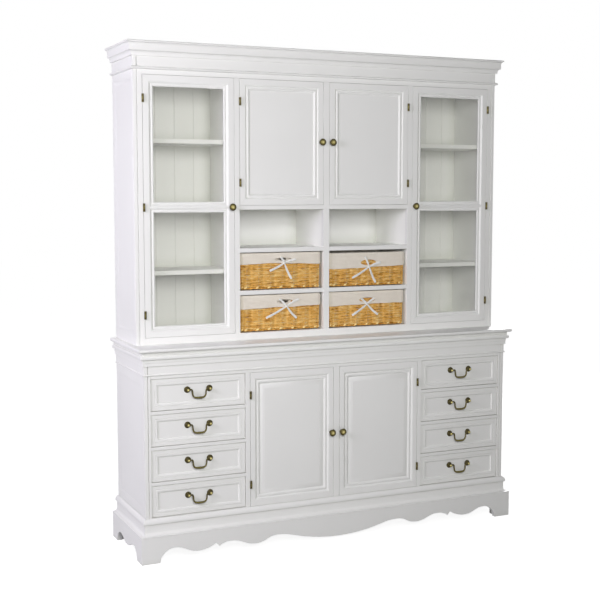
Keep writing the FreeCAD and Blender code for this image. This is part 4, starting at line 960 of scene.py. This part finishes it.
class Strands:
    """Gathers woven strands, each swept along its line, into one mesh."""

    def __init__(self, name, uneven):
        self.name, self.uneven = name, uneven
        self.corners, self.faces, self.marks, self.runs = [], [], [], []

    def sweep(self, line, thick, tall, closed=False, sides=6, mark=None):
        """Lays a strand: line lists the place, the way out and the way up of each section."""
        base = len(self.corners)
        mark = self.uneven.random() if mark is None else mark
        length, before = 0.0, line[0][0]
        for place, out, up in line:
            length += (place - before).length
            before = place
            for side in range(sides):
                turn = 2 * math.pi * side / sides
                self.corners.append(place + out * (thick * math.cos(turn))
                                    + up * (tall * math.sin(turn)))
                self.marks.append(mark)
                self.runs.append((length * MM, side / sides * 0.02))
        self.faces += quads(len(line), sides, base, closed=closed)
        if not closed:
            end = len(self.corners)
            self.faces += [tuple(range(base, base + sides))[::-1], tuple(range(end - sides, end))]

    def mesh(self):
        mesh = bpy.data.meshes.new(self.name)
        mesh.from_pydata([tuple(c * MM) for c in self.corners], [], self.faces)
        piece = placed(self.name, mesh)
        marked(piece, "strand", "FLOAT", "POINT", self.marks)
        layer = mesh.uv_layers.new(name="run")
        for face in mesh.polygons:
            for loop in face.loop_indices:
                layer.data[loop].uv = self.runs[mesh.loops[loop].vertex_index]
        open_up(piece)
        pick_all()
        bpy.ops.mesh.normals_make_consistent(inside=False)
        close_up()
        return soft_shaded(piece, 60)


def weave_wall(strands, basket, uneven):
    """Rows of two strands each, which change places between one stake and the next."""
    spots = STAKES + [STAKES[0] + AROUND]
    rows = round((basket.height - BORDER_ROOM - FIRST_ROW) / ROW_RISE) + 1
    for row in range(rows):
        height = FIRST_ROW + row * ROW_RISE
        lean, wave_at = uneven.uniform(-0.2, 0.2), uneven.uniform(0, PHASES)
        holed = HOLE_LOW[basket.side] < height < HOLE_HIGH
        for twin in (1, -1):
            tall = STRAND_TALL + uneven.uniform(-0.2, 0.2)
            line = []
            for number, (start, end) in enumerate(zip(spots, spots[1:])):
                steps = max(4, round((end - start) / 8))
                for step in range(steps):
                    share = step / steps
                    distance = start + (end - start) * share
                    out = twin * math.cos(math.pi * (number + share))
                    over = twin * math.sin(math.pi * (number + share))
                    drift = 0.4 * math.sin(0.031 * distance + wave_at) + lean
                    place, way = basket.wall(distance, height + drift + SWING_OVER * over,
                                             SWING_OUT * out)
                    line.append((place, way, UP * (0.78 + 0.22 * abs(out)), distance))
            if holed:
                line = [spot for spot in line if HOLE_HALF < spot[3] < AROUND - HOLE_HALF]
            strands.sweep([spot[:3] for spot in line], STRAND_THICK, tall, closed=not holed)


def stand_stakes(strands, basket, uneven):
    for spot in STAKES:
        corner = min(abs(spot % (AROUND / 2) - edge) for edge in
                     (FRONT_RUN + BEND / 2, AROUND / 2 - FRONT_RUN - BEND / 2)) < 1
        holed = min(spot, AROUND - spot) < HOLE_HALF
        top = (HOLE_LOW[basket.side] if holed else basket.height) - STAKE_ENDS
        line = []
        for step in range(7):
            place, way = basket.wall(spot, STAKE_ENDS + (top - STAKE_ENDS) * step / 6)
            line.append((place, way, way.cross(UP)))
        thick = CORNER_STAKE if corner else STAKE
        strands.sweep(line, thick, thick, sides=8, mark=0.8 + 0.25 * uneven.random())


def twist_borders(strands, basket, uneven):
    """Two rods twisted round each other at the foot and under the rim."""
    count = TWISTS * 10
    for height, reach in ((7.4, 2.0), (basket.height - 5.2, 1.9)):
        for half in (0, math.pi):
            line = []
            for number in range(count):
                turn = 2 * math.pi * TWISTS * number / count + half
                place, way = basket.wall(AROUND * number / count, height + reach * math.sin(turn),
                                         reach * math.cos(turn))
                line.append((place, way, UP))
            strands.sweep(line, ROD, ROD, closed=True, mark=0.15 + 0.2 * uneven.random())
    # The foot of each stake is bent over the border.
    for spot in STAKES:
        line = []
        for step in range(7):
            share = step / 6 * 2 - 1
            bulge = math.cos(math.pi / 2 * share)
            place, way = basket.wall(spot + 8.5 * share, 11.0 + 3.6 * share, 0.6 + 3.0 * bulge)
            line.append((place, way, UP * (0.5 + 0.5 * bulge)))
        strands.sweep(line, 2.3, 4.8, mark=1.5 + 0.5 * uneven.random())


def weave_floor(strands, basket):
    """Rows that go over and under a few flat sticks."""
    half_width = HALF_WIDTH - basket.taper - WALL_MIDDLE - 3
    half_depth = HALF_DEPTH - basket.taper - WALL_MIDDLE - 3
    for row in range(FLOOR_ROWS):
        y = half_depth * (2 * row / (FLOOR_ROWS - 1) - 1)
        line = []
        for step in range(FLOOR_STEPS + 1):
            x = half_width * (2 * step / FLOOR_STEPS - 1)
            z = FLOOR_MIDDLE + 1.6 * math.cos(math.pi * (step / 2 + row))
            line.append((Vector((x, y, z)), UP, Vector((0, -1, 0))))
        strands.sweep(line, 1.1, 3.4)
    for stick in range(FLOOR_STICKS):
        x = half_width * ((2 * stick + 1) / FLOOR_STICKS - 1)
        line = [(Vector((x, y, FLOOR_MIDDLE)), UP, Vector((1, 0, 0)))
                for y in (-half_depth, 0, half_depth)]
        strands.sweep(line, 1.6, 2.6)


def wicker_tub(name, basket, uneven):
    strands = Strands(name, uneven)
    weave_wall(strands, basket, uneven)
    stand_stakes(strands, basket, uneven)
    twist_borders(strands, basket, uneven)
    weave_floor(strands, basket)
    tub = strands.mesh()
    tub.data.transform(Matrix.Translation(basket.place * MM))
    return tub


# The cloth liners

COLUMNS, FOLD_ROWS = 260, 24
CLOTH_THICK, RIBBON_THICK = 0.9, 0.5
# The rim of the sheet: how far under the basket's top it turns, and its middle line.
RIM_DROP, RIM_RISE, RIM_OUT, RIM_HALF = 3.4, 5.6, 4.2, 5.4
LINING_IN, CLOTH_GAP = 9.6, 1.3


def liner_rows(basket):
    """The rings of the sheet, from the middle of the floor to the hem of the fold."""
    _, hole, _, half = basket.hole
    rows = [("floor", share) for share in (0.02, 0.35, 0.68, 0.9)]
    rows += [("wall", height) for height in (11.5, 13.5, 35, 60, 80)]
    rows += [("wall", hole + half * share) for share in (-1.2, -0.7, -0.25, 0.25, 0.7, 1.2)]
    rows += [("wall", basket.height - 5)]
    rows += [("rim", turn) for turn in range(0, 181, 30)]
    rows += [("fold", (step + 1) / FOLD_ROWS) for step in range(FOLD_ROWS)]
    return rows


def liner_spot(basket, kind, value, distance, phase):
    """One place on the sheet."""
    edge, way = outline(distance)
    ripple = math.sin(distance * 0.021 + phase[0]) + 0.6 * math.sin(distance * 0.053 + phase[1])
    if kind == "floor":
        wall, _ = basket.wall(distance, 10)
        middle = Vector((wall.x, wall.y)) - way * 5.5
        return Vector((middle.x * value, middle.y * value, 10.3 + 0.3 * ripple))
    if kind == "wall":
        height = value
        out = -(LINING_IN + basket.taper * (1 - value / basket.height)) - 0.5 * ripple
    elif kind == "rim":
        turn = math.radians(value)
        height = basket.height - RIM_DROP + RIM_RISE * math.sin(turn)
        out = -RIM_OUT - RIM_HALF * math.cos(turn)
    else:
        top = basket.height - RIM_DROP
        wander = math.sin(distance * 0.017 + phase[4]) + 0.5 * math.sin(distance * 0.06 + phase[5])
        foot = basket.fold_foot(edge) + 1.1 * wander
        height = top + (foot - top) * value
        crease = math.sin(distance * 0.11 + phase[2] + 1.5 * value)
        slack = math.sin(height * 0.36 + 0.02 * distance + phase[3])
        out = CLOTH_GAP + 0.5 * value + value * (0.5 * ripple + 0.5 * crease) + 0.35 * slack
        out = min(max(out, 0.7), 3.6) - basket.taper * (1 - height / basket.height)
    return Vector((edge.x + way.x * out, edge.y + way.y * out, height))


def liner(name, basket, uneven):
    """One sheet: over the basket's floor, up its wall, over the rim and down outside."""
    phase = [uneven.uniform(0, PHASES) for _ in range(6)]
    spots = [AROUND * number / COLUMNS for number in range(COLUMNS)]
    points, flat = [], []
    across, before = 0.0, None
    rows = liner_rows(basket)
    for kind, value in rows:
        ring = [liner_spot(basket, kind, value, distance, phase) for distance in spots]
        across += (ring[0] - before).length if before else 0.0
        before = ring[0]
        points += [tuple((corner + basket.place) * MM) for corner in ring]
        flat += [(distance * MM, across * MM) for distance in spots]
    faces = quads(len(rows), COLUMNS) + [tuple(range(COLUMNS))[::-1]]
    piece = cloth_mesh(name, points, faces, flat)
    cut_hole(piece, basket)
    thicken(piece, CLOTH_THICK)
    return piece


def cloth_mesh(name, points, faces, flat):
    """A sheet's mesh, with a map of where each corner lies on the flat cloth."""
    mesh = bpy.data.meshes.new(name)
    mesh.from_pydata(points, [], faces)
    layer = mesh.uv_layers.new(name="cloth")
    for face in mesh.polygons:
        start = flat[mesh.loops[face.loop_start].vertex_index][0]
        for loop in face.loop_indices:
            along, across = flat[mesh.loops[loop].vertex_index]
            if start - along > AROUND * MM / 2:
                along += AROUND * MM
            layer.data[loop].uv = (along, across)
    return placed(name, mesh)


def cut_hole(piece, basket):
    """The opening for the hand, cut through the fold and, smaller, the lining behind it."""
    x, z, half_width, half_height = basket.hole
    middle = basket.place + Vector((x, 0, z))
    face_y = basket.place.y - HALF_DEPTH
    for near, far, share in ((-5.0, 1.5, 1.0), (1.5, 30.0, 0.55)):
        reach = (half_width * share, half_height * share)

        def from_middle(spot):
            return Vector(((spot.x / MM - middle.x) / reach[0],
                           (spot.z / MM - middle.z) / reach[1]))

        def between(spot):
            return near < spot.y / MM - face_y < far

        open_up(piece)
        pick(piece, "faces", lambda face: between(face.calc_center_median())
             and from_middle(face.calc_center_median()).length < 1)
        bpy.ops.mesh.delete(type="FACE")
        shape = bmesh.from_edit_mesh(piece.data)
        for vertex in shape.verts:
            away = from_middle(vertex.co)
            if vertex.is_boundary and between(vertex.co) and 0 < away.length < 1.7:
                away.normalize()
                vertex.co.x = (middle.x + away.x * reach[0]) * MM
                vertex.co.z = (middle.z + away.y * reach[1]) * MM
        bmesh.update_edit_mesh(piece.data)
        close_up()


def thicken(piece, thickness):
    """Gives a sheet its thickness, half to each side."""
    modified(piece, "SOLIDIFY", thickness=thickness * MM, offset=0)
    bpy.ops.object.shade_smooth()


# Ribbons

# The four corners across a strip, its width at the knot and beyond, and steps along an end.
ACROSS = (-1, -0.33, 0.33, 1)
KNOT_WIDTH, RIBBON_WIDTH, LAST_STEP = 5.5, 10.3, 9


class Ribbon:
    """Gathers strips of ribbon, four corners wide, into one mesh."""

    def __init__(self):
        self.points, self.faces, self.flat = [], [], []

    def strip(self, sections):
        """Lays a strip: each section has a place, a way across and a width."""
        base, length, before = len(self.points), 0.0, sections[0][0]
        for place, across, width in sections:
            length += (place - before).length
            before = place
            for turn in ACROSS:
                bow_out = Vector((0, -0.7 * (1 - turn * turn), 0))
                self.points.append(tuple((place + across * (width * turn / 2) + bow_out) * MM))
                self.flat.append((turn * width / 2 * MM, length * MM))
        self.faces += quads(len(sections), len(ACROSS), base, around=False)

    def mesh(self, name):
        piece = cloth_mesh(name, self.points, self.faces, self.flat)
        modified(piece, "SUBSURF", levels=1, render_levels=1)
        thicken(piece, RIBBON_THICK)
        return piece


def ribbon(name, basket):
    """Two lengths of ribbon tied at the opening: four ends and the knot."""
    tie = Ribbon()
    x, z = basket.knot
    recess = basket.taper * (1 - z / basket.height)
    knot = basket.place + Vector((x, -HALF_DEPTH - 4.6 + recess, z))
    for number, (end_x, end_z) in enumerate(basket.ends):
        line = []
        for step in range(LAST_STEP + 1):
            share = step / LAST_STEP
            sag = (1 - (2 * share - 1) ** 2) * (-3.0 if end_z < 0 else 2.0)
            out = 0.6 + 1.8 * share + 0.8 * math.sin(share * 5 + number)
            line.append(knot + Vector((end_x * share + 0.4 * sag, -out, end_z * share + sag)))
        sections = []
        for step, place in enumerate(line):
            ahead = line[min(step + 1, LAST_STEP)] - line[max(step - 1, 0)]
            across = Vector((ahead.z, 0, -ahead.x)).normalized()
            across.y = 0.15 * math.sin(step * 0.9 + number)
            width = KNOT_WIDTH + (RIBBON_WIDTH - KNOT_WIDTH) * min(1, step / 3.5)
            sections.append((place, across, width))
        tie.strip(sections)
    # The knot is a short length wound once round the crossing.
    winding = []
    for step in range(13):
        turn = 2 * math.pi * step / 12
        place = knot + Vector((5.0 * math.cos(turn), -2.8 * math.sin(turn) - 1.4,
                               1.2 * math.sin(turn * 2)))
        winding.append((place, Vector((0.16, 0, 1)), 9.5))
    tie.strip(winding)
    return tie.mesh(name)


BASKETS = {
    "left_1": Basket("left", HIGHER, 162, 4, (114.0, 116.5, 107.0), (8, 134.5, 38, 7.5),
                     (11, 118), ((-72, -34), (36, -73), (-18, 29), (57, 16))),
    "left_2": Basket("left", LOWER, 162, 4, (104.0, 107.0, 110.0), (17, 131.5, 37, 10.0),
                     (22, 111), ((-101, -50), (50, -56), (-36, 34), (60, 30))),
    "right_1": Basket("right", HIGHER, 154, 1, (81.5, 87.5, 93.5), (3, 110.0, 40, 13.0),
                      (5, 90), ((-89, -50), (34, -75), (-23, 48), (60, 20))),
    "right_2": Basket("right", LOWER, 162, 4, (98.0, 103.0, 104.5), (-2, 124.0, 41, 10.0),
                      (-5, 104), ((-78, -50), (58, -51), (-32, 27), (38, 26))),
}
for number, (spot, basket) in enumerate(BASKETS.items()):
    uneven = random.Random(40 + number)
    body = "basket_" + spot
    tub = wicker_tub("woven_" + body, basket, uneven)
    settle(tub, body, willow, [body])
    cloth = liner("linen_" + body, basket, uneven)
    settle(cloth, body, linen, [body + "_liner"])
    tie = ribbon("ribbon_" + body, basket)
    settle(tie, body, ribbon_cloth)
    reach = sum(math.hypot(*end) for end in basket.ends) + 34


# The room

def stood(name, data, place, look):
    """A lamp or camera at a place, looking one way."""
    holder = placed(name, data)
    holder.location = place
    holder.rotation_euler = Vector(look).to_track_quat("-Z", "Y").to_euler()
    return holder


def lamp(name, place, aim, size, power, colour):
    """A square lamp that looks at a spot."""
    light = bpy.data.lights.new(name, "AREA")
    light.shape = "RECTANGLE"
    light.size = light.size_y = size
    light.energy = power
    light.color = colour
    stood(name, light, place, Vector(aim) - Vector(place))


lamp("key", (-3.2, -1.3, 2.0), (-0.4, 0, 1.1), 1.0, 46, (1.0, 0.95, 1.09))
lamp("side", (-3.3, 0.6, 1.8), (-0.9, 0.15, 1.2), 1.2, 20, (1.0, 0.985, 1.05))
lamp("fill", (-1.35, -3.85, 2.1), (0, 0, 1.1), 1.4, 99, (1.0, 1.0, 0.985))
lamp("rear", (3.2, 3.2, 2.4), (0, 0.2, 1.1), 1.6, 90, (1.0, 1.0, 1.0))

# The world is white where it is looked at, and lights nothing.
world = bpy.data.worlds.new("white room")
bpy.context.scene.world = world
w = wired(world)
dark = w.add("Background", {"Strength": 0.0})
white = w.add("Background", {"Color": (1, 1, 1, 1), "Strength": 1.0})
w.add("OutputWorld", {"Surface": w.either(in_view(w), dark, white)})

# The floor keeps the shadow, and glows up to white away from the cabinet where it is looked at.
floor = started("floor", bpy.ops.mesh.primitive_plane_add, size=40)
pale = bpy.data.materials.new("pale_floor")
w = wired(pale)
matt = w.add("BsdfDiffuse", {"Color": (0.38, 0.38, 0.375, 1)})
spot = w.add("TexCoord").outputs["Object"]
far = w.add("VectorMath", {0: spot}, operation="LENGTH").outputs["Value"]
glow = w.add("Emission", {"Color": (1, 1, 1, 1), "Strength": w.ramp(far, 0.7, 2.2, 0.9, 1.0)})
dark = w.add("Emission", {"Strength": 0.0})
both = w.add("AddShader", {0: matt.outputs[0], 1: w.either(in_view(w), dark, glow)})
w.add("OutputMaterial", {"Surface": both.outputs[0]})
floor.data.materials.append(pale)

camera = stood("camera", bpy.data.cameras.new("camera"), (-2.2375, -4.7414, 1.5622),
               (0.4109, 0.9069, -0.0932))
camera.data.sensor_width = 36
camera.data.lens = 67.89
bpy.context.scene.camera = camera
bpy.context.scene.view_settings.view_transform = "Standard"
